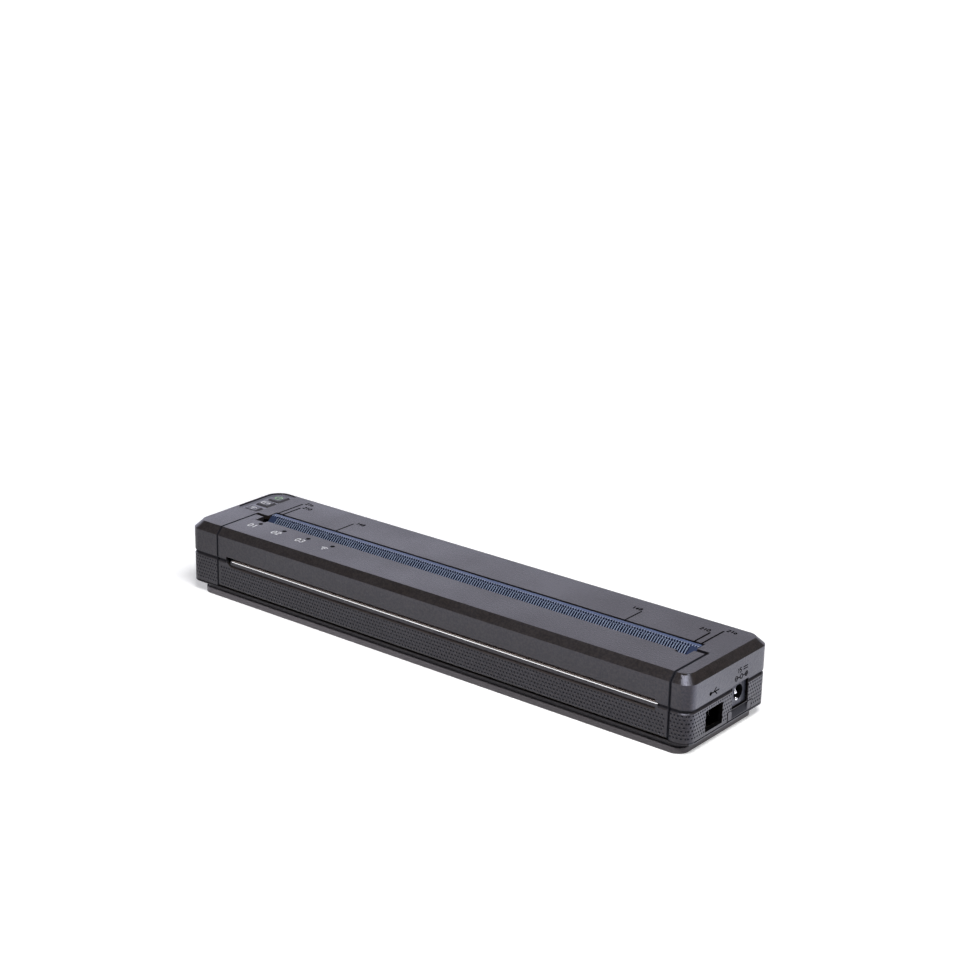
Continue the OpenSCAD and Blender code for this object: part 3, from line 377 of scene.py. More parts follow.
def paint_zones(graph: Graph, zones: Sequence[Zone], colour: Value, rough: Value) -> tuple[Value, Value]:
    """Lays zones over a colour and a roughness; a later one covers an earlier one."""
    for zone in zones:
        inside = zone.mask(graph)
        colour = graph.mix(inside, colour, zone.colour)
        rough = graph.math("MULTIPLY_ADD", inside, zone.dull, rough)
    return colour, rough


# ---------------- finishes


@dataclass(frozen=True)
class MouldedPlastic:
    """Satin plastic with the fine spark-eroded grain of a mould."""

    colour: Colour
    roughness: float = 0.37
    specular: float = 0.5
    grain_mm: float = 0.32
    grain_depth: float = 0.06
    vary: float = 0.35
    tint: Colour = (0.79, 0.81, 1.0)
    cloud_mm: float = 30.0
    dimples: Optional[DimpleField] = None
    zones: tuple[Zone, ...] = ()

    def make(self, name: str) -> bpy.types.Material:
        """Builds the material, with grain, faint clouding and handling shine."""
        graph = Graph(name, self.colour)
        grain = graph.noise(self.grain_mm, 2.5, 0.6)
        speck = graph.noise(self.grain_mm * 2.5, 1.0)
        colour = graph.mix(graph.scaled(speck, 0.35, 0.65), scale_colour(self.colour, 1 - self.vary),
                           scale_colour(self.colour, 1 + self.vary))
        cloud = graph.noise(self.cloud_mm, 3.0)
        rough = graph.scaled(cloud, 0.35, 0.65, self.roughness - 0.03, self.roughness + 0.04)
        colour, rough = paint_zones(graph, self.zones, colour, rough)
        if self.dimples:
            inside = self.dimples(graph)
            colour = graph.mix(inside, colour, scale_colour(self.colour, self.dimples.shade))
            rough = graph.math("MULTIPLY_ADD", inside, self.dimples.dull, rough)
            graph.bump(graph.minus(1.0, inside), self.dimples.depth)
        graph.bump(grain, self.grain_depth)
        graph.bump(speck, self.grain_depth)
        graph.set(Base_Color=colour, Roughness=rough, Specular_IOR_Level=self.specular, Specular_Tint=self.tint)
        return graph.material


@dataclass(frozen=True)
class Metal:
    """Rolled, drawn, plated or machined metal with fine lines along one way."""

    colour: Colour
    roughness: float = 0.3
    grain_mm: float = 0.08
    stretch: Colour = (60.0, 1.0, 1.0)
    grain_depth: float = 0.004
    tarnish_mm: float = 6.0
    zones: tuple[Zone, ...] = ()

    def make(self, name: str) -> bpy.types.Material:
        """Builds the material with its lines and faint clouds of tarnish."""
        graph = Graph(name, self.colour)
        lines = graph.noise(self.grain_mm, 3.0, 0.6, self.stretch)
        tarnish = graph.scaled(graph.noise(self.tarnish_mm, 4.0), 0.35, 0.7)
        rough = graph.scaled(lines, 0.3, 0.7, self.roughness * 0.8, self.roughness * 1.25)
        colour, rough = paint_zones(graph, self.zones,
                                    graph.mix(tarnish, self.colour, scale_colour(self.colour, 0.82)), rough)
        graph.bump(lines, self.grain_depth)
        graph.set(Base_Color=colour, Metallic=1.0, Roughness=rough)
        return graph.material


@dataclass(frozen=True)
class Rubber:
    """Ground or moulded rubber: dull, with a very fine tooth."""

    colour: Colour = (0.018, 0.018, 0.02)
    roughness: float = 0.8

    def make(self, name: str) -> bpy.types.Material:
        """Builds the material with its tooth and light dust."""
        graph = Graph(name, self.colour)
        tooth = graph.noise(0.12, 2.0, 0.6, (3.0, 1.0, 1.0))
        dust = graph.scaled(graph.noise(9.0, 4.0), 0.45, 0.75)
        graph.bump(tooth, 0.02)
        graph.set(Base_Color=graph.mix(dust, self.colour, scale_colour(self.colour, 1.8, 0.006)),
                  Roughness=graph.scaled(tooth, 0.3, 0.7, self.roughness - 0.08, self.roughness + 0.08),
                  Specular_IOR_Level=0.3)
        return graph.material


@dataclass(frozen=True)
class CircuitBoard:
    """Green lacquer over copper tracks on a glass-fibre board."""

    colour: Colour = (0.012, 0.085, 0.03)
    track_mm: float = 2.4

    def make(self, name: str) -> bpy.types.Material:
        """Builds the material: tracks are the narrow seams between cells."""
        graph = Graph(name, self.colour)
        inputs = {"Vector": graph.texture.outputs["Object"], "Scale": 1.0 / (self.track_mm * MM)}
        distance = graph.add("ShaderNodeTexVoronoi", inputs, "Distance", feature="DISTANCE_TO_EDGE")
        track = graph.step(distance, 0.09, 0.05)
        graph.bump(track, 0.03)
        graph.set(Base_Color=graph.mix(track, self.colour, scale_colour(self.colour, 1.9, 0.01)),
                  Roughness=graph.scaled(graph.noise(3.0), 0.3, 0.7, 0.25, 0.4))
        return graph.material


@dataclass(frozen=True)
class Print:
    """Pad-printed ink: opaque, slightly uneven, following the grain below."""

    colour: Colour
    roughness: float = 0.55
    specular: float = 0.3

    def make(self, name: str) -> bpy.types.Material:
        """Builds the ink with pinholes and uneven cover."""
        graph = Graph(name, self.colour)
        cover = graph.noise(0.25, 2.0, 0.6)
        graph.bump(cover, 0.01)
        thin = scale_colour(self.colour, 0.72)
        graph.set(Base_Color=graph.mix(graph.scaled(cover, 0.5, 0.72), self.colour, thin),
                  Roughness=graph.scaled(cover, 0.3, 0.7, self.roughness - 0.05, self.roughness + 0.08),
                  Specular_IOR_Level=self.specular)
        return graph.material


CASE_COLOUR = (0.0225, 0.0175, 0.0145)
# Near black, used only for painted shade in seams, gaps, holes and openings.
SHADE_BLACK = (0.0015, 0.0013, 0.0012)

# The case: painted shade in the groove at mid height and in the upright seams beside the cover; painted light
# on the floor of the keys' sunk panel and on the keys' sides.
GROOVE_SHADE = Zone(both(Inset(), Region(z=(16.8, OPEN), soft=0.2), Region(z=(-OPEN, 18.1), soft=0.1)),
              (0.007, 0.0052, 0.0045), 0.5)
# Painted shade: the upright seams beside the cover are blackened a little wider than their gaps.
SEAM_SHADES = tuple(Zone(Region(x=(middle - half, middle + half), y=(-OPEN, -3.0), soft=0.05), SHADE_BLACK, 0.5)
              for middle, half in ((-111.05, 0.5), (119.05, 0.6)))
# Painted light: the floor of the sunk panel around the keys is lighter than the case.
KEY_PANEL_LIGHT = Zone(Region(x=(-OPEN, -112.0), y=(-2.0, 25.0), z=(30.3, 30.5)), (0.2, 0.2, 0.24))
# Painted light: the keys' sides, which stand in shade, are lighter than their tops.
KEY_SIDE_LIGHT = Zone(Region(z=(-OPEN, 30.92)), (0.07, 0.066, 0.07))

# The cover: painted light on the scoop face under the exit slot, and painted shade in rings around the status
# lights.
SCOOP_LIGHT = Zone(Region(y=(-27.4, -26.5), z=(14.95, 15.75)), (0.06, 0.046, 0.038))
LIGHTS = Disc((0, 1), (-100.5, -11.6), (1.15, 1.0), 13.75)
# Painted shade: a black ring around each status light's lens.
LENS_RIM_SHADE = Zone(both(LIGHTS, Region(x=(-OPEN, -54.0), z=(31.1, OPEN), soft=0.2)), SHADE_BLACK, 0.5)

# The base: the foot, lighter than the rest, partly its own finish and partly painted light from the floor;
# painted shade that darkens the foot towards the right end; painted light on the band under the right end's
# wall.
FOOT_TONE_AND_LIGHT = Zone(Region(z=(-OPEN, 2.4)), (0.165, 0.15, 0.156))
# Painted shade: the foot darkens from its left end to its right end.
FOOT_END_SHADE = Zone(both(Region(x=(125.0, OPEN), soft=245.0), Region(z=(-OPEN, 2.4), soft=0.1)), (0.1, 0.09, 0.09))
# Painted light: a lighter strip on the band under the right end's wall.
END_BAND_LIGHT = Zone(Region(x=(126.8, OPEN), z=(3.9, 4.7)), (0.1, 0.1, 0.11))

# The latch: painted shade in its finger scoop, and a painted shadow along its top under the jack's opening.
LATCH_SCOOP_SHADE = Zone(Region(x=(-OPEN, 127.4), y=(2.5, 14.0), z=(5.0, 8.6), soft=0.15),
                   (0.006, 0.005, 0.0045), 0.45)
# Painted shadow: black along the latch's top, under the edge of the jack's opening.
LATCH_TOP_SHADOW = Zone(Region(y=(2.2, 13.6), z=(8.0, 9.0), soft=0.15), SHADE_BLACK, 0.5)

# The paper guide: painted light on the ribs' crests on the slope and on the ridge, painted shade in the valleys
# between them and in the rear gap, and its ends.
SLOPE_CREST_LIGHT = Zone(Region(y=(-OPEN, -0.2)), (0.25, 0.3, 0.42))
# Painted light on the crests where the ribs' stripes run onto the flat ridge.
RIDGE_CREST_LIGHT = Zone(Region(y=(-0.75, 0.6), soft=0.05), (0.26, 0.31, 0.44))
# Painted shade: near black between the ribs' crests.
VALLEY_SHADE = Zone(RibValleyShade(), (0.005, 0.01, 0.03), 0.4)
# Painted shade: black in the gap behind the guide's rim.
GUIDE_GAP_SHADE = Zone(Region(y=(2.45, OPEN)), SHADE_BLACK, 0.5)
GUIDE_ENDS = tuple(Zone(Region(x=x, y=(-OPEN, -0.3)), (0.03, 0.045, 0.1))
                   for x in ((-OPEN, -101.4), (109.8, OPEN)))

# Painted shade on the power jack's far side and in its bore; painted shade on the tear bar's toothed edge, and
# painted light on its seat inside the slot.
JACK_SHADE = Zone(Region(y=(10.4, OPEN), soft=0.9), (0.02, 0.022, 0.032))
JACK_BORE_SHADE = Zone(Disc((1, 2), (7.7, 14.25), (3.1, 3.0)), SHADE_BLACK, 0.5)
# Painted shade: the bar's toothed top edge, under the slot's lip, is dark.
BLADE_EDGE_SHADE = Zone(Region(z=(17.9, OPEN)), (0.1, 0.085, 0.08))
# Painted light: the bar's top inside the slot is made pale and rough over the dark edge so that the slot is
# lighter.
BLADE_SEAT_LIGHT = Zone(Region(y=(-27.2, OPEN)), (0.9, 0.8, 0.74), 0.75)


class Finish(Enum):
    """Every finish on the printer."""

    TOP = MouldedPlastic(CASE_COLOUR, zones=(KEY_PANEL_LIGHT, GROOVE_SHADE, *SEAM_SHADES))
    SIDES = MouldedPlastic(CASE_COLOUR, dimples=DimpleField(), zones=(GROOVE_SHADE, *SEAM_SHADES))
    COVER = MouldedPlastic(CASE_COLOUR, zones=(SCOOP_LIGHT, GROOVE_SHADE, *SEAM_SHADES, LENS_RIM_SHADE),
                           dimples=DimpleField(last_row=14.6, x_limits=(-109.4, 117.3)))
    BASE = MouldedPlastic((0.018, 0.0145, 0.012), roughness=0.5, specular=0.35,
                          zones=(FOOT_TONE_AND_LIGHT, FOOT_END_SHADE, END_BAND_LIGHT))
    LATCH = MouldedPlastic(CASE_COLOUR, zones=(LATCH_SCOOP_SHADE, LATCH_TOP_SHADOW))
    KEYS = MouldedPlastic((0.03, 0.028, 0.03), grain_mm=0.25, zones=(KEY_SIDE_LIGHT,))
    GUIDE = MouldedPlastic((0.037, 0.066, 0.155), specular=0.2, grain_mm=0.2, grain_depth=0.012,
                           zones=(SLOPE_CREST_LIGHT, GUIDE_GAP_SHADE, RIDGE_CREST_LIGHT, VALLEY_SHADE, *GUIDE_ENDS))
    JACK = MouldedPlastic((0.1, 0.1, 0.125), specular=0.1, grain_mm=0.2, grain_depth=0.01,
                          zones=(JACK_SHADE, JACK_BORE_SHADE))
    # Pitch black for the sleeves in the openings of the right end: painted shade.
    LINING = MouldedPlastic(SHADE_BLACK, roughness=0.9, specular=0.05)
    CREAM = MouldedPlastic(srgb(214, 208, 190), roughness=0.4, grain_mm=0.3, grain_depth=0.008, vary=0.05)
    BLACK = MouldedPlastic((0.012, 0.012, 0.013), roughness=0.5, grain_mm=0.2, grain_depth=0.015)
    LENS = MouldedPlastic((0.003, 0.002, 0.002), roughness=0.9, specular=0.05, grain_mm=0.4,
                          grain_depth=0.001)
    WRAP = MouldedPlastic((0.006, 0.012, 0.05), roughness=0.25, grain_mm=4.0, grain_depth=0.05)
    CELLS = MouldedPlastic((0.02, 0.12, 0.05), roughness=0.25, grain_mm=3.0, grain_depth=0.02)
    GLAZE = MouldedPlastic(srgb(206, 196, 176), roughness=0.2, grain_mm=0.5, grain_depth=0.004, vary=0.05)
    PAD = Rubber()
    ROLLER = Rubber((0.022, 0.022, 0.024), 0.7)
    BRIGHT = Metal(srgb(214, 214, 218), 0.22)
    BLADE = Metal(srgb(240, 240, 243), 0.22, zones=(BLADE_EDGE_SHADE, BLADE_SEAT_LIGHT))
    PORT = Metal(srgb(118, 114, 112), 0.4)
    SHEET = Metal(srgb(186, 188, 192), 0.34, stretch=(20.0, 20.0, 1.0))
    SCREW = Metal(srgb(176, 178, 182), 0.35, 0.15, (1.0, 1.0, 1.0))
    SINK = Metal(srgb(206, 208, 212), 0.28)
    BRASS = Metal(srgb(212, 176, 104), 0.3, 0.1, (1.0, 1.0, 1.0))
    BOARD = CircuitBoard()
    WHITE_INK = Print(srgb(226, 226, 228))
    GREEN_INK = Print(srgb(150, 196, 140))
    # Dark print; also the ribbons of painted shade in the gaps at the right end.
    DARK_INK = Print((0.004, 0.003, 0.003), 1.0, 0.0)

    def material(self) -> bpy.types.Material:
        """Gives the finish's material, built on first use under a name of the finish's own."""
        name = f"finish_{self.name.lower()}"
        return bpy.data.materials.get(name) or self.value.make(name)


# ---------------- meshes


def link(name: str, data: bpy.types.ID) -> bpy.types.Object:
    """Makes an object from its data and puts it into the scene."""
    thing = bpy.data.objects.new(name, data)
    bpy.context.scene.collection.objects.link(thing)
    return thing


def new_piece(name: str, points: np.ndarray, faces: Sequence, finish: Finish, body: Body,
              smooth: bool = False) -> bpy.types.Object:
    """Puts points and faces into a piece that rides on a body.

    Args:
        name: the piece's name.
        points: an array of points in millimetres.
        faces: lists of point numbers.
        finish: its finish.
        body: the body that it rides on.
        smooth: whether its faces are shaded smooth.

    Returns:
        The object.
    """
    mesh = bpy.data.meshes.new(name)
    mesh.from_pydata((np.asarray(points, float) * MM).tolist(), [], [list(map(int, face)) for face in faces])
    mesh.validate()
    mesh.polygons.foreach_set("use_smooth", np.full(len(mesh.polygons), smooth))
    mesh.materials.append(finish.material())
    piece = link(name, mesh)
    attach(piece, body.value)
    LOG.info("%s: %d faces", name, len(mesh.polygons))
    return piece


def grid_faces(rows: int, columns: int, close_rows: bool = False, close_columns: bool = False,
               first: int = 0) -> np.ndarray:
    """Faces of a grid of points, numbered row by row.

    Args:
        rows, columns: the size of the grid.
        close_rows, close_columns: whether the last row or column joins the first.
        first: the number of the grid's first point.

    Returns:
        An array of four point numbers for each face.
    """
    row = np.arange(rows if close_rows else rows - 1)[:, None]
    column = np.arange(columns if close_columns else columns - 1)[None, :]
    next_row, next_column = (row + 1) % rows, (column + 1) % columns
    corners = [row * columns + column, row * columns + next_column,
               next_row * columns + next_column, next_row * columns + column]
    return np.stack([np.broadcast_to(corner, (row.size, column.size)).ravel() for corner in corners], 1) + first


def tubes(parts: Sequence[np.ndarray]) -> tuple[np.ndarray, list]:
    """Joins tubes that are closed at both ends.

    Args:
        parts: a grid of points for each, one ring to a row.

    Returns:
        The points and faces of all.
    """
    rows, columns = parts[0].shape[:2]
    faces = []
    for start in range(0, rows * columns * len(parts), rows * columns):
        last = start + (rows - 1) * columns
        faces += grid_faces(rows, columns, close_columns=True, first=start).tolist()
        faces += [list(range(last, last + columns)), list(range(start, start + columns))[::-1]]
    return np.vstack(parts).reshape(-1, 3), faces


def strip(path: np.ndarray, width: float) -> tuple[np.ndarray, np.ndarray]:
    """A flat ribbon along a path in a plane.

    Each point of the path gives two: half the width to the left and to the
    right of the way that the path takes there.

    Args:
        path: points in the plane, as an array of two columns.
        width: the ribbon's width.

    Returns:
        The ribbon's points and faces.
    """
    way = np.gradient(path, axis=0)
    way /= np.linalg.norm(way, axis=1, keepdims=True)
    side = np.stack([way[:, 1], -way[:, 0]], 1) * width / 2
    points = np.stack([path - side, path + side], 1).reshape(-1, 2)
    return points, grid_faces(len(path), 2)


def oval(middle: Span, wide: float, high: float, start: float, end: float, steps: int) -> np.ndarray:
    """Points on an oval, from one angle to another in degrees: half the sizes times the cosine and the sine."""
    angle = np.radians(np.linspace(start, end, steps))
    return np.stack([middle[0] + wide * np.cos(angle), middle[1] + high * np.sin(angle)], 1)


def arc(middle: Span, radius: float, start: float, end: float, steps: int) -> np.ndarray:
    """Points on an arc, from one angle to another in degrees."""
    return oval(middle, radius, radius, start, end, steps)


def line(x0: float, y0: float, x1: float, y1: float) -> np.ndarray:
    """The two ends of a straight line."""
    return np.array([[x0, y0], [x1, y1]], float)


# Strokes of plain numerals that are one unit high and centred on the origin.
NUMERALS = {
    "0": (oval((0, 0), 0.27, 0.5, 0, 360, 25),),
    "1": (line(0.05, -0.5, 0.05, 0.5), line(-0.15, 0.3, 0.05, 0.5)),
    "2": (np.vstack([arc((0, 0.24), 0.26, 165, -35, 12), [[-0.24, -0.42]]]), line(-0.27, -0.45, 0.27, -0.45)),
    "3": (arc((0, 0.24), 0.24, 150, -90, 12), arc((0, -0.24), 0.26, 90, -150, 12)),
    "4": (line(0.12, -0.5, 0.12, 0.5), line(-0.28, -0.2, 0.28, -0.2), line(-0.26, -0.18, 0.12, 0.48)),
    "5": (line(-0.18, 0.46, 0.25, 0.46), line(-0.18, 0.5, -0.22, 0.02),
          arc((-0.02, -0.2), 0.28, 130, -140, 14)),
    "6": (oval((0, -0.22), 0.25, 0.26, 0, 360, 20), arc((0.22, -0.2), 0.48, 180, 115, 10)),
    "8": (oval((0, 0.26), 0.2, 0.22, 0, 360, 20), oval((0, -0.22), 0.25, 0.26, 0, 360, 20)),
}
NUMERAL_STEP = 0.78


class Plane(Enum):
    """Where a printed sign lies: the roof, or the end with the sockets."""

    ROOF = "roof"
    END = "end"

    def lift(self, flat: np.ndarray, level: float) -> np.ndarray:
        """Places flat points: X and Y at a height on the roof, Y and Z at a place along X on the end."""
        up = np.full((len(flat), 1), level)
        return np.hstack([flat, up]) if self is Plane.ROOF else np.hstack([up, flat])


@dataclass
class Sign:
    """Ribbons of ink or of painted shade that lie on a face, gathered into one piece."""

    name: str
    finish: Finish
    body: Body
    slot: str
    level: float
    plane: Plane = Plane.ROOF
    thick: float = 0.02
    points: list = field(default_factory=list)
    faces: list = field(default_factory=list)

    def ribbon(self, path: np.ndarray, width: float) -> None:
        """Adds a ribbon along a path."""
        flat, faces = strip(path, width)
        start = sum(len(part) for part in self.points)
        self.points.append(self.plane.lift(flat, self.level))
        self.faces.extend((faces + start).tolist())

    def lines(self, width: float, at: Span, *ends: Sequence[float]) -> None:
        """Adds straight ribbons between pairs of ends, each four coordinates measured from a point."""
        for each in ends:
            self.ribbon(line(*each) + np.array(at), width)

    def digits(self, text: str, middle: Span, height: float, width: float) -> None:
        """Adds plain numbers drawn as ribbons.

        Args:
            text: the digits.
            middle: the middle of the row.
            height: the digits' height.
            width: the ribbons' width.
        """
        step = height * NUMERAL_STEP
        left = middle[0] - step * (len(text) - 1) / 2
        for place, digit in enumerate(text):
            for path in NUMERALS[digit]:
                self.ribbon(path * height + np.array([left + place * step, middle[1]]), width)

    def make(self) -> None:
        """Makes the piece, with its faces turned outwards."""
        piece = new_piece(self.name, np.vstack(self.points), self.faces, self.finish, self.body)
        facing = Vector((0, 0, 1)) if self.plane is Plane.ROOF else Vector((1, 0, 0))
        shell = bmesh.new()
        shell.from_mesh(piece.data)
        bmesh.ops.reverse_faces(shell, faces=[face for face in shell.faces if face.normal.dot(facing) < 0])
        shell.to_mesh(piece.data)
        shell.free()
        solid = piece.modifiers.new("ink", "SOLIDIFY")
        solid.thickness = self.thick * MM
        solid.offset = 1.0


# ---------------- sub-assemblies


@dataclass
class Shell:
    """A moulded or machined part taken from the frame, with its sharp edges eased."""

    node: str
    finish: Finish
    body: Body
    slot: str
    ease: float = 0.2
    steps: int = 2
    merge: float = 0.002
    flat_degrees: float = 0.8
    sharp_degrees: float = 24.0
    ease_degrees: float = 32.0

    def make(self) -> None:
        """Merges a copy of the part's mesh, joins its flat faces and bevels its edges."""
        name = f"{self.node}_shell"
        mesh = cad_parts[self.node].data.copy()
        mesh.name = name
        shell = bmesh.new()
        shell.from_mesh(mesh)
        bmesh.ops.remove_doubles(shell, verts=shell.verts, dist=self.merge * MM)
        bmesh.ops.dissolve_degenerate(shell, edges=shell.edges, dist=self.merge * MM)
        bmesh.ops.dissolve_limit(shell, angle_limit=math.radians(self.flat_degrees), verts=shell.verts,
                                 edges=shell.edges)
        shell.to_mesh(mesh)
        shell.free()
        mesh.materials.clear()
        mesh.materials.append(self.finish.material())
        mesh.polygons.foreach_set("use_smooth", np.full(len(mesh.polygons), True))
        mesh.set_sharp_from_angle(angle=math.radians(self.sharp_degrees))
        piece = link(name, mesh)
        if self.ease:
            bevel = piece.modifiers.new("ease", "BEVEL")
            bevel.width = self.ease * MM
            bevel.segments = self.steps
            bevel.limit_method = "ANGLE"
            bevel.angle_limit = math.radians(self.ease_degrees)
            bevel.use_clamp_overlap = False
            bevel.harden_normals = True
        piece.modifiers.new("flat", "WEIGHTED_NORMAL").keep_sharp = True
        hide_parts(self.node)
        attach(piece, self.body.value)
        LOG.info("%s: %d faces", name, len(mesh.polygons))


@dataclass
class Housing:
    """The case, its cover, base, keys and small outer parts."""

    shells: tuple[Shell, ...] = (
        Shell("upper_case", Finish.TOP, Body.CASE, "dark_case", 0.0),
        Shell("lower_case", Finish.SIDES, Body.CASE, "dark_case", 0.0),
        Shell("base_pan", Finish.BASE, Body.CASE, "dark_base"),
        Shell("release_cover", Finish.COVER, Body.COVER, "dark_case", 0.08),
        Shell("paper_guide", Finish.GUIDE, Body.CASE, "guide_plastic", 0.0),
        Shell("battery_cover", Finish.BASE, Body.DOOR, "dark_base"),
        Shell("battery_latch", Finish.LATCH, Body.LATCH, "dark_base", 0.15),
        Shell("power_button", Finish.KEYS, Body.POWER, "button_plastic", 0.15),
        Shell("feed_button", Finish.KEYS, Body.FEED, "button_plastic", 0.15),
        Shell("wireless_button", Finish.KEYS, Body.WIRELESS, "button_plastic", 0.15),
        Shell("foot_pads", Finish.PAD, Body.CASE, "pad_rubber", 0.15),
        Shell("power_jack", Finish.JACK, Body.CASE, "jack_plastic", 0.15),
        Shell("data_port", Finish.PORT, Body.CASE, "zinc_steel", 0.08),
        Shell("tear_bar", Finish.BLADE, Body.COVER, "bright_steel", 0.08),
    )

    def make(self) -> None:
        """Makes every outer part."""
        for shell in self.shells:
            shell.make()


@dataclass
class ShadeSleeve:
    """A thin black sleeve that follows an opening in the end wall: painted shade inside the opening."""

    name: str
    x_limits: Span
    y_limits: Span
    z_limits: Span
    round_top: float = 0.0
    thick: float = 0.12
    clear: float = 0.01

    def outline(self, inset: float) -> np.ndarray:
        """Gives the opening's outline with rounded top corners.

        Args:
            inset: how far it is drawn in.

        Returns:
            Its points, with Y and Z in two columns.
        """
        (y0, y1), (z0, z1) = self.y_limits, self.z_limits
        radius = max(self.round_top - inset, self.clear)
        y0, y1, z0, z1 = y0 + inset, y1 - inset, z0 + inset, z1 - inset
        return np.vstack([[[y0, z0], [y1, z0]], arc((y1 - radius, z1 - radius), radius, 0, 90, 6),
                          arc((y0 + radius, z1 - radius), radius, 90, 180, 6)])

    def make(self) -> None:
        """Makes the sleeve of painted shade: the outline carried along X, outside and inside, closed at both
        ends.
        """
        outside, inside = self.outline(self.clear), self.outline(self.thick)
        x0, x1 = self.x_limits
        loops = [Plane.END.lift(flat, x) for flat, x in
                 ((outside, x0), (outside, x1), (inside, x1), (inside, x0))]
        faces = grid_faces(4, len(outside), close_rows=True, close_columns=True)
        new_piece(self.name, np.vstack(loops), faces, Finish.LINING, Body.CASE)


@dataclass
class Sockets:
    """Black sleeves of painted shade in the two openings in the right end, and the jack's sprung contacts."""

    shade_sleeves: tuple[ShadeSleeve, ...] = (ShadeSleeve("data_lining", (125.75, 127.44), (-15.7, -4.0), (6.1, 14.8), 1.0),
                                   ShadeSleeve("power_lining", (126.62, 127.3), (2.2, 13.2), (8.9, 18.6)))
    contacts: tuple[Span, ...] = ((5.2, 15.1), (6.1, 12.1))
    face_x: float = 126.6
    radius: float = 0.8
    rings: int = 7
    around: int = 20
    last_degrees: float = 84.0

    def make(self) -> None:
        """Makes the sleeves of painted shade and the domed contacts.

        A contact is a hemisphere: rings of points at rising angles from its
        rim, each ring a circle that shrinks with the cosine.
        """
        for shade_sleeve in self.shade_sleeves:
            shade_sleeve.make()
        rise = np.radians(np.linspace(0, self.last_degrees, self.rings))[:, None]
        turn = np.linspace(0, 2 * np.pi, self.around, endpoint=False)[None, :]
        points, faces = tubes([np.stack([self.face_x + self.radius * np.sin(rise) + 0 * turn,
                                         y + self.radius * np.cos(rise) * np.cos(turn),
                                         z + self.radius * np.cos(rise) * np.sin(turn)], 2)
                               for y, z in self.contacts])
        new_piece("jack_contacts", points, faces, Finish.BRIGHT, Body.CASE, True)


@dataclass
class Works:
    """Everything inside, which keeps its CAD mesh and gets a finish."""

    finishes: tuple[tuple[Finish, tuple[str, ...]], ...] = (
        (Finish.CELLS, ("battery_cells",)),
        (Finish.WRAP, ("battery_wrap",)),
        (Finish.BRASS, ("battery_contacts", "motor_pinion")),
        (Finish.SCREW, ("case_screws", "frame_screws", "board_screws")),
        (Finish.BRIGHT, ("hinge_pins", "platen_shaft", "idler_axle", "motor_shaft", "head_rod", "power_pin")),
        (Finish.LENS, ("light_lenses",)),
        (Finish.BOARD, ("light_board", "main_board", "io_board", "button_board")),
        (Finish.BLACK, ("paper_sensor", "board_chips", "data_tongue", "button_switches")),
        (Finish.ROLLER, ("platen_roller",)),
        (Finish.CREAM, ("platen_bushes", "platen_gear", "idler_gear")),
        (Finish.SHEET, ("stepper_motor", "motor_plate", "printer_frame", "wireless_module", "head_springs")),
        (Finish.SINK, ("heat_sink",)),
        (Finish.GLAZE, ("print_head",)),
    )

    def make(self) -> None:
        """Gives each inner part its finish."""
        for finish, names in self.finishes:
            for name in names:
                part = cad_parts[name]
                part.data.materials.clear()
                part.data.materials.append(finish.material())
                LOG.info("%s: %s", name, finish.name)


@dataclass
class TearTeeth:
    """The fine teeth that rise along the front edge of the tear bar."""

    x0: float = -102.8
    x1: float = 113.8
    pitch: float = 0.8
    front: float = -27.42
    back: float = -27.28
    bottom: float = 17.95
    root: float = 18.2
    tip: float = 18.45

    def make(self) -> None:
        """Makes the toothed strip: a zigzag upper edge carried between two planes."""
        count = int((self.x1 - self.x0) / self.pitch)
        xs = np.linspace(self.x0, self.x1, 2 * count + 1)
        edge = np.where(np.arange(2 * count + 1) % 2, self.tip, self.root)
        foot = np.full_like(xs, self.bottom)
        rows = [np.stack([xs, np.full_like(xs, y), z], 1)
                for y, z in ((self.back, edge), (self.front, edge), (self.front, foot), (self.back, foot))]
        faces = grid_faces(4, len(xs), close_rows=True)[:, ::-1].tolist()
        first_end = np.arange(4) * len(xs)
        faces += [first_end.tolist(), (first_end + len(xs) - 1)[::-1].tolist()]
        new_piece("tear_teeth", np.vstack(rows), faces, Finish.BLADE, Body.COVER)


@dataclass
class HeadSprings:
    """Wound springs under the heat sink."""

    radius: float = 2.2
    wire: float = 0.3
    turns: float = 8.0
    bottom: float = 3.6
    top: float = 14.55
    y: float = -16.4
    shares: tuple[float, ...] = (-0.36, 0.04, 0.36)
    closed_share: float = 0.09
    turn_points: int = 18
    wire_points: int = 8

    def make(self) -> None:
        """Makes the springs: a circle carried along a helix with closed end turns.

        The height rises evenly with the turn, apart from a share at each end
        where it stays, so that the first and last turns lie flat.
        """
        turn = np.linspace(0.0, 1.0, int(self.turns * self.turn_points))
        angle = turn * self.turns * 2 * np.pi
        rise = np.clip((turn - self.closed_share) / (1 - 2 * self.closed_share), 0, 1)
        height = self.bottom + self.wire + rise * (self.top - self.bottom - 2 * self.wire)
        ring = np.linspace(0, 2 * np.pi, self.wire_points, endpoint=False)
        out = self.radius + self.wire * np.cos(ring)[None, :]
        middle = (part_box("printer_frame")[0][0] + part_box("printer_frame")[1][0]) / 2 / MM
        length = (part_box("paper_guide")[1][0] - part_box("paper_guide")[0][0]) / MM
        points, faces = tubes([np.stack([middle + share * length + out * np.cos(angle)[:, None],
                                         self.y + out * np.sin(angle)[:, None],
                                         height[:, None] + self.wire * np.sin(ring)[None, :] + 0 * out], 2)
                               for share in self.shares])
        faces = [face[::-1] for face in faces]
        piece = new_piece("wound_springs", points, faces, Finish.SHEET, Body.CASE, True)
        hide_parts("head_springs")


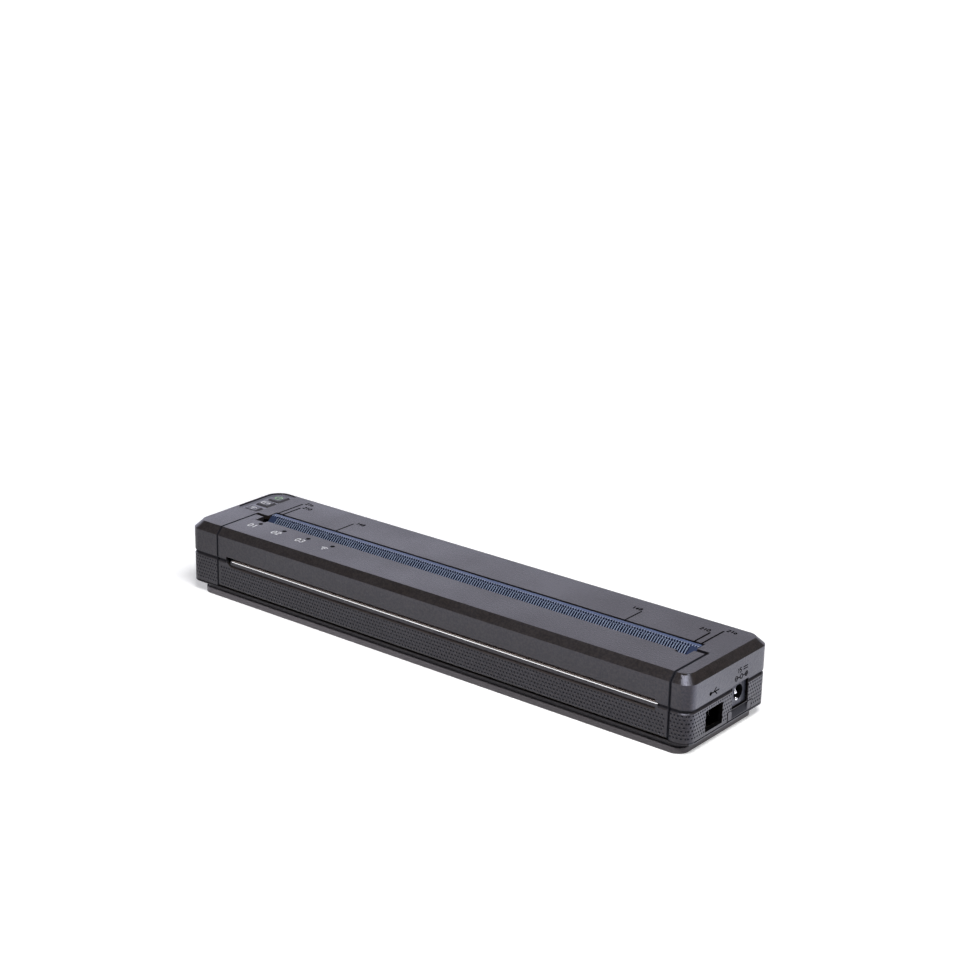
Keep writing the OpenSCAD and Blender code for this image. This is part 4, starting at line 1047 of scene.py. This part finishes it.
@dataclass
class Printing:
    """All signs in ink: keys, lights, paper widths and sockets, and ribbons of painted shade in the gaps."""

    roof: float = 31.2
    end: float = 127.5
    key_top: float = 31.05
    key_x: float = -117.65
    power_y: float = 17.9
    feed_y: float = 9.7
    wireless_y: float = 0.5
    light_shift: float = -1.4
    number_y: float = -15.2
    waves_y: float = -16.6
    socket_z: float = 20.9

    def keys(self) -> None:
        """A ring with a bar, a sheet with an arrow, and arcs over a dot."""
        power = Sign("power_sign", Finish.GREEN_INK, Body.POWER, "button_plastic", self.key_top)
        power.ribbon(arc((self.key_x, self.power_y), 1.55, 120, 420, 28), 0.45)
        power.lines(0.45, (self.key_x, self.power_y), (0, 0.2, 0, 2.1))
        power.make()
        feed = Sign("feed_sign", Finish.WHITE_INK, Body.FEED, "button_plastic", self.key_top)
        feed.lines(0.4, (self.key_x, self.feed_y), (-2.2, -1.3, -2.2, 1.3), (-2.2, 1.2, 0.2, 1.2),
                   (-2.2, -1.2, 0.2, -1.2), (-1.2, 0, 2.3, 0), (2.3, 0, 1.2, 1.0), (2.3, 0, 1.2, -1.0))
        feed.make()
        foot = (self.key_x, self.wireless_y)
        self.waves("wireless_sign", Body.WIRELESS, "button_plastic", foot, 1.0, self.key_top)

    def waves(self, name: str, body: Body, slot: str, foot: Span, size: float, level: float) -> None:
        """Makes a sign of two arcs over a dot, larger or smaller than the one on the key."""
        sign = Sign(name, Finish.WHITE_INK, body, slot, level)
        sign.ribbon(arc(foot, 0.22 * size, 0, 360, 14), 0.44 * size)
        for radius in (1.15, 2.1):
            sign.ribbon(arc(foot, radius * size, 45, 135, 16), 0.42 * size)
        sign.make()

    def lights(self) -> None:
        """Plain numbers under three lights and arcs under the fourth."""
        sign = Sign("light_numbers", Finish.WHITE_INK, Body.COVER, "dark_case", self.roof)
        places = [LIGHTS.middle[0] + LIGHTS.pitch * number + self.light_shift for number in range(4)]
        for number, x in enumerate(places[:3]):
            sign.digits(f"0{number + 1}", (x, self.number_y), 3.0, 0.55)
        sign.make()
        self.waves("light_waves", Body.COVER, "dark_case", (places[3], self.waves_y), 1.1, self.roof)

    def width_marks(self) -> None:
        """Lines that mark three paper widths, with the width in millimetres as a plain number."""
        sign = Sign("width_lines", Finish.DARK_INK, Body.CASE, "dark_case", self.roof)
        for width, y0, y1, xs in ((0.75, 2.9, 18.9, (-104.2, 112.3)), (0.75, 2.9, 14.4, (-101.5, 109.1)),
                                  (0.65, 3.4, 14.7, (-70.8, 77.7))):
            sign.lines(width, (0, 0), *((x, y0, x, y1) for x in xs))
        for text, y, xs in (("216", 20.2, (-101.2, 115.2)), ("210", 15.8, (-98.6, 105.9)),
                            ("148", 16.1, (-67.9, 74.8))):
            for x in xs:
                sign.digits(text, (x, y), 2.0, 0.5)
        sign.make()

    def sockets(self) -> None:
        """A branching line over the data port, and the polarity of the power jack."""
        sign = Sign("socket_signs", Finish.DARK_INK, Body.CASE, "dark_case", self.end, Plane.END)
        row = (0.0, self.socket_z)
        sign.lines(0.5, row, (-13.2, 0, -7.4, 0), (-11.2, 0, -9.4, 1.5), (-10.4, 0, -8.8, -1.4))
        sign.ribbon(arc((-13.2, self.socket_z), 0.4, 0, 360, 14), 0.8)
        for y in (4.4, 7.9, 11.4):
            sign.ribbon(arc((y, self.socket_z), 0.9, 0, 360, 18), 0.42)
        sign.lines(0.42, row, (5.3, 0, 7.0, 0), (8.8, 0, 10.5, 0), (9.0, 3.3, 12.0, 3.3), (9.0, 2.4, 12.0, 2.4))
        sign.lines(0.35, row, (3.8, 0, 5.0, 0), (10.8, 0, 12.0, 0), (11.4, -0.6, 11.4, 0.6))
        sign.digits("15", (6.4, self.socket_z + 2.8), 1.9, 0.42)
        sign.make()

    def gaps(self) -> None:
        """The painted shade in the narrow gaps around the latch, under the end wall and beside the power
        socket, laid as dark ribbons.
        """
        sign = Sign("gap_lines", Finish.DARK_INK, Body.CASE, "dark_case", self.end, Plane.END)
        sign.lines(0.5, (0, 0), (-0.3, 4.6, -0.3, 8.9))
        sign.lines(0.3, (0, 0), (-0.55, 8.75, 2.2, 8.75), (13.2, 8.75, 16.6, 8.75), (13.4, 8.9, 13.4, 16.2),
                   (-22.5, 4.75, 22.5, 4.75))
        sign.make()

    def make(self) -> None:
        """Makes every sign."""
        self.keys()
        self.lights()
        self.width_marks()
        self.sockets()
        self.gaps()


# ---------------- studio


@dataclass
class Studio:
    """Floor, backdrop, soft light and the camera at the photograph's place."""

    image: float = 960.0
    focal_px: float = 2142.76
    centre_px: Span = (404.86, 512.51)
    place: Colour = (499.59, -632.08, 347.09)
    yaw: float = 0.6973
    pitch: float = 0.3457
    roll: float = 0.0089
    sensor: float = 36.0
    floor_half: float = 3000.0
    floor_drop: float = -0.05
    floor_colour: Colour = (0.8, 0.8, 0.8)
    floor_seen: Fade = (0.2, 0.7, 0.42, 1.2)
    front_glow: Fade = (0.035, 0.11, 0.4, 1.4)
    front_left: Fade = (-0.165, -0.13, 0.45, 1.0)
    right_start: Fade = (0.12, 0.15, 0.0, 1.0)
    right_glow: Fade = (0.0, 0.045, 2.1, 0.0)
    right_rear: Fade = (-0.01, 0.06, 1.0, 0.5)
    right_tint: Colour = (0.92, 0.95, 1.1)
    wall_tilt: Span = (0.5, -0.3)
    wall_glow: Fade = (-0.255, 0.12, 2.4, 0.03)
    wall_left: Fade = (-0.66, -0.56, 1.0, 0.86)
    wall_colour: Colour = (0.86, 0.865, 1.02)
    wall_seen: float = 1.3

    def camera(self) -> None:
        """Places the camera; its shift puts the view's axis on the photograph's own point."""
        ahead = Vector((-math.sin(self.yaw) * math.cos(self.pitch), math.cos(self.yaw) * math.cos(self.pitch),
                        -math.sin(self.pitch)))
        right = ahead.cross(Vector((0, 0, 1))).normalized()
        up = right.cross(ahead)
        turned_right = right * math.cos(self.roll) + up * math.sin(self.roll)
        turned_up = up * math.cos(self.roll) - right * math.sin(self.roll)
        data = bpy.data.cameras.new("camera")
        data.sensor_width = self.sensor
        data.lens = self.focal_px * self.sensor / self.image
        data.shift_x = (self.image / 2 - self.centre_px[0]) / self.image
        data.shift_y = (self.centre_px[1] - self.image / 2) / self.image
        data.clip_start, data.clip_end = 0.01, 20.0
        camera = link("camera", data)
        turned = Matrix((turned_right, turned_up, -ahead)).transposed().to_4x4()
        camera.matrix_world = Matrix.Translation(Vector(self.place) * MM) @ turned
        bpy.context.scene.camera = camera

    def floor(self) -> None:
        """Makes a plain pale floor that keeps the object's shadow and is clear from below.

        Its glow as the camera sees it grows with the distance from the object.
        What polished faces mirror is brighter before the object, and beside
        its right end.
        """
        graph = Graph("floor", self.floor_colour)
        spot = graph.texture.outputs["Object"]
        x, y, _ = graph.split(spot)
        distance = graph.add("ShaderNodeVectorMath", {0: spot}, "Value", operation="LENGTH")
        before = graph.times(y, -1.0)
        beside = graph.ramp(x, *self.right_start)
        front = graph.times(graph.ramp(before, *self.front_glow), graph.ramp(x, *self.front_left))
        right = graph.times(beside, graph.ramp(before, *self.right_glow), graph.ramp(y, *self.right_rear))
        glossy = graph.add("ShaderNodeLightPath", {}, "Is Glossy Ray")
        seen = graph.times(glossy.node.outputs["Is Camera Ray"], graph.ramp(distance, *self.floor_seen))
        mirrored = graph.times(glossy, graph.math("ADD", front, right))
        tint = graph.mix(graph.times(glossy, beside), (1.0, 1.0, 1.0), self.right_tint)
        graph.set(Base_Color=self.floor_colour, Roughness=0.9, Specular_IOR_Level=0.1,
                  Emission_Color=tint, Emission_Strength=graph.math("ADD", seen, mirrored))
        clear = graph.add("ShaderNodeMixShader", {
            0: graph.add("ShaderNodeNewGeometry", {}, "Backfacing"), 1: graph.shader.outputs[0],
            2: graph.add("ShaderNodeBsdfTransparent", {})})
        graph.fill(graph.tree.nodes["Material Output"], {"Surface": clear})
        mesh = bpy.data.meshes.new("floor")
        corners = np.array([[x, y, self.floor_drop] for x, y in ((-1, -1), (1, -1), (1, 1), (-1, 1))], float)
        corners[:, :2] *= self.floor_half
        mesh.from_pydata((corners * MM).tolist(), [], [[0, 1, 2, 3]])
        mesh.materials.append(graph.material)
        link("floor", mesh)

    def world(self) -> None:
        """Makes a white backdrop low down, with dim walls above it: its height tilts with X and Y."""
        world = bpy.data.worlds.new("studio")
        bpy.context.scene.world = world
        world.use_nodes = True
        nodes = Nodes(world.node_tree)
        x, y, z = nodes.split(nodes.texture.outputs["Generated"])
        level = nodes.math("MULTIPLY_ADD", y, self.wall_tilt[1], z)
        level = nodes.math("MULTIPLY_ADD", x, self.wall_tilt[0], level)
        wall = nodes.times(nodes.ramp(level, *self.wall_glow), nodes.ramp(x, *self.wall_left))
        seen = nodes.times(nodes.add("ShaderNodeLightPath", {}, "Is Camera Ray"), self.wall_seen)
        nodes.fill(nodes.tree.nodes["Background"], {"Color": self.wall_colour,
                                                    "Strength": nodes.math("MAXIMUM", seen, wall)})

    def lamp(self, name: str, place: Colour, target: Colour, size: Span, power: float,
             diffuse: bool = True) -> None:
        """Adds a soft rectangular lamp.

        Args:
            name: its name.
            place, target: where it stands and the point that it faces, in metres.
            size: its sides in metres.
            power: in watts.
            diffuse: whether it lights more than gloss.
        """
        data = bpy.data.lights.new(name, "AREA")
        data.shape = "RECTANGLE"
        data.size, data.size_y = size
        data.energy = power
        lamp = link(name, data)
        way = Vector(target) - Vector(place)
        lamp.matrix_world = Matrix.Translation(place) @ way.to_track_quat("-Z", "Y").to_matrix().to_4x4()
        lamp.visible_camera = False
        lamp.visible_diffuse = diffuse

    def make(self) -> None:
        """Makes the studio."""
        self.camera()
        self.floor()
        self.world()
        self.lamp("overhead", place=(0.55, -0.35, 1.25), target=(0, 0, 0), size=(0.6, 0.5), power=18.0)
        self.lamp("corner", place=(0.28, -0.56, 1.29), target=(0.125, -0.025, 0.03), size=(0.3, 0.3),
                  power=15.0, diffuse=False)
        bpy.context.scene.view_settings.view_transform = "Standard"


def main() -> None:
    """Builds the studio and dresses the printer, part by part."""
    logging.basicConfig(level=logging.INFO, format="%(message)s")
    for part in (Studio(), Housing(), Works(), Sockets(), TearTeeth(), HeadSprings(), Printing()):
        LOG.info("-- %s", type(part).__name__)
        part.make()


if __name__ == "__main__":
    main()
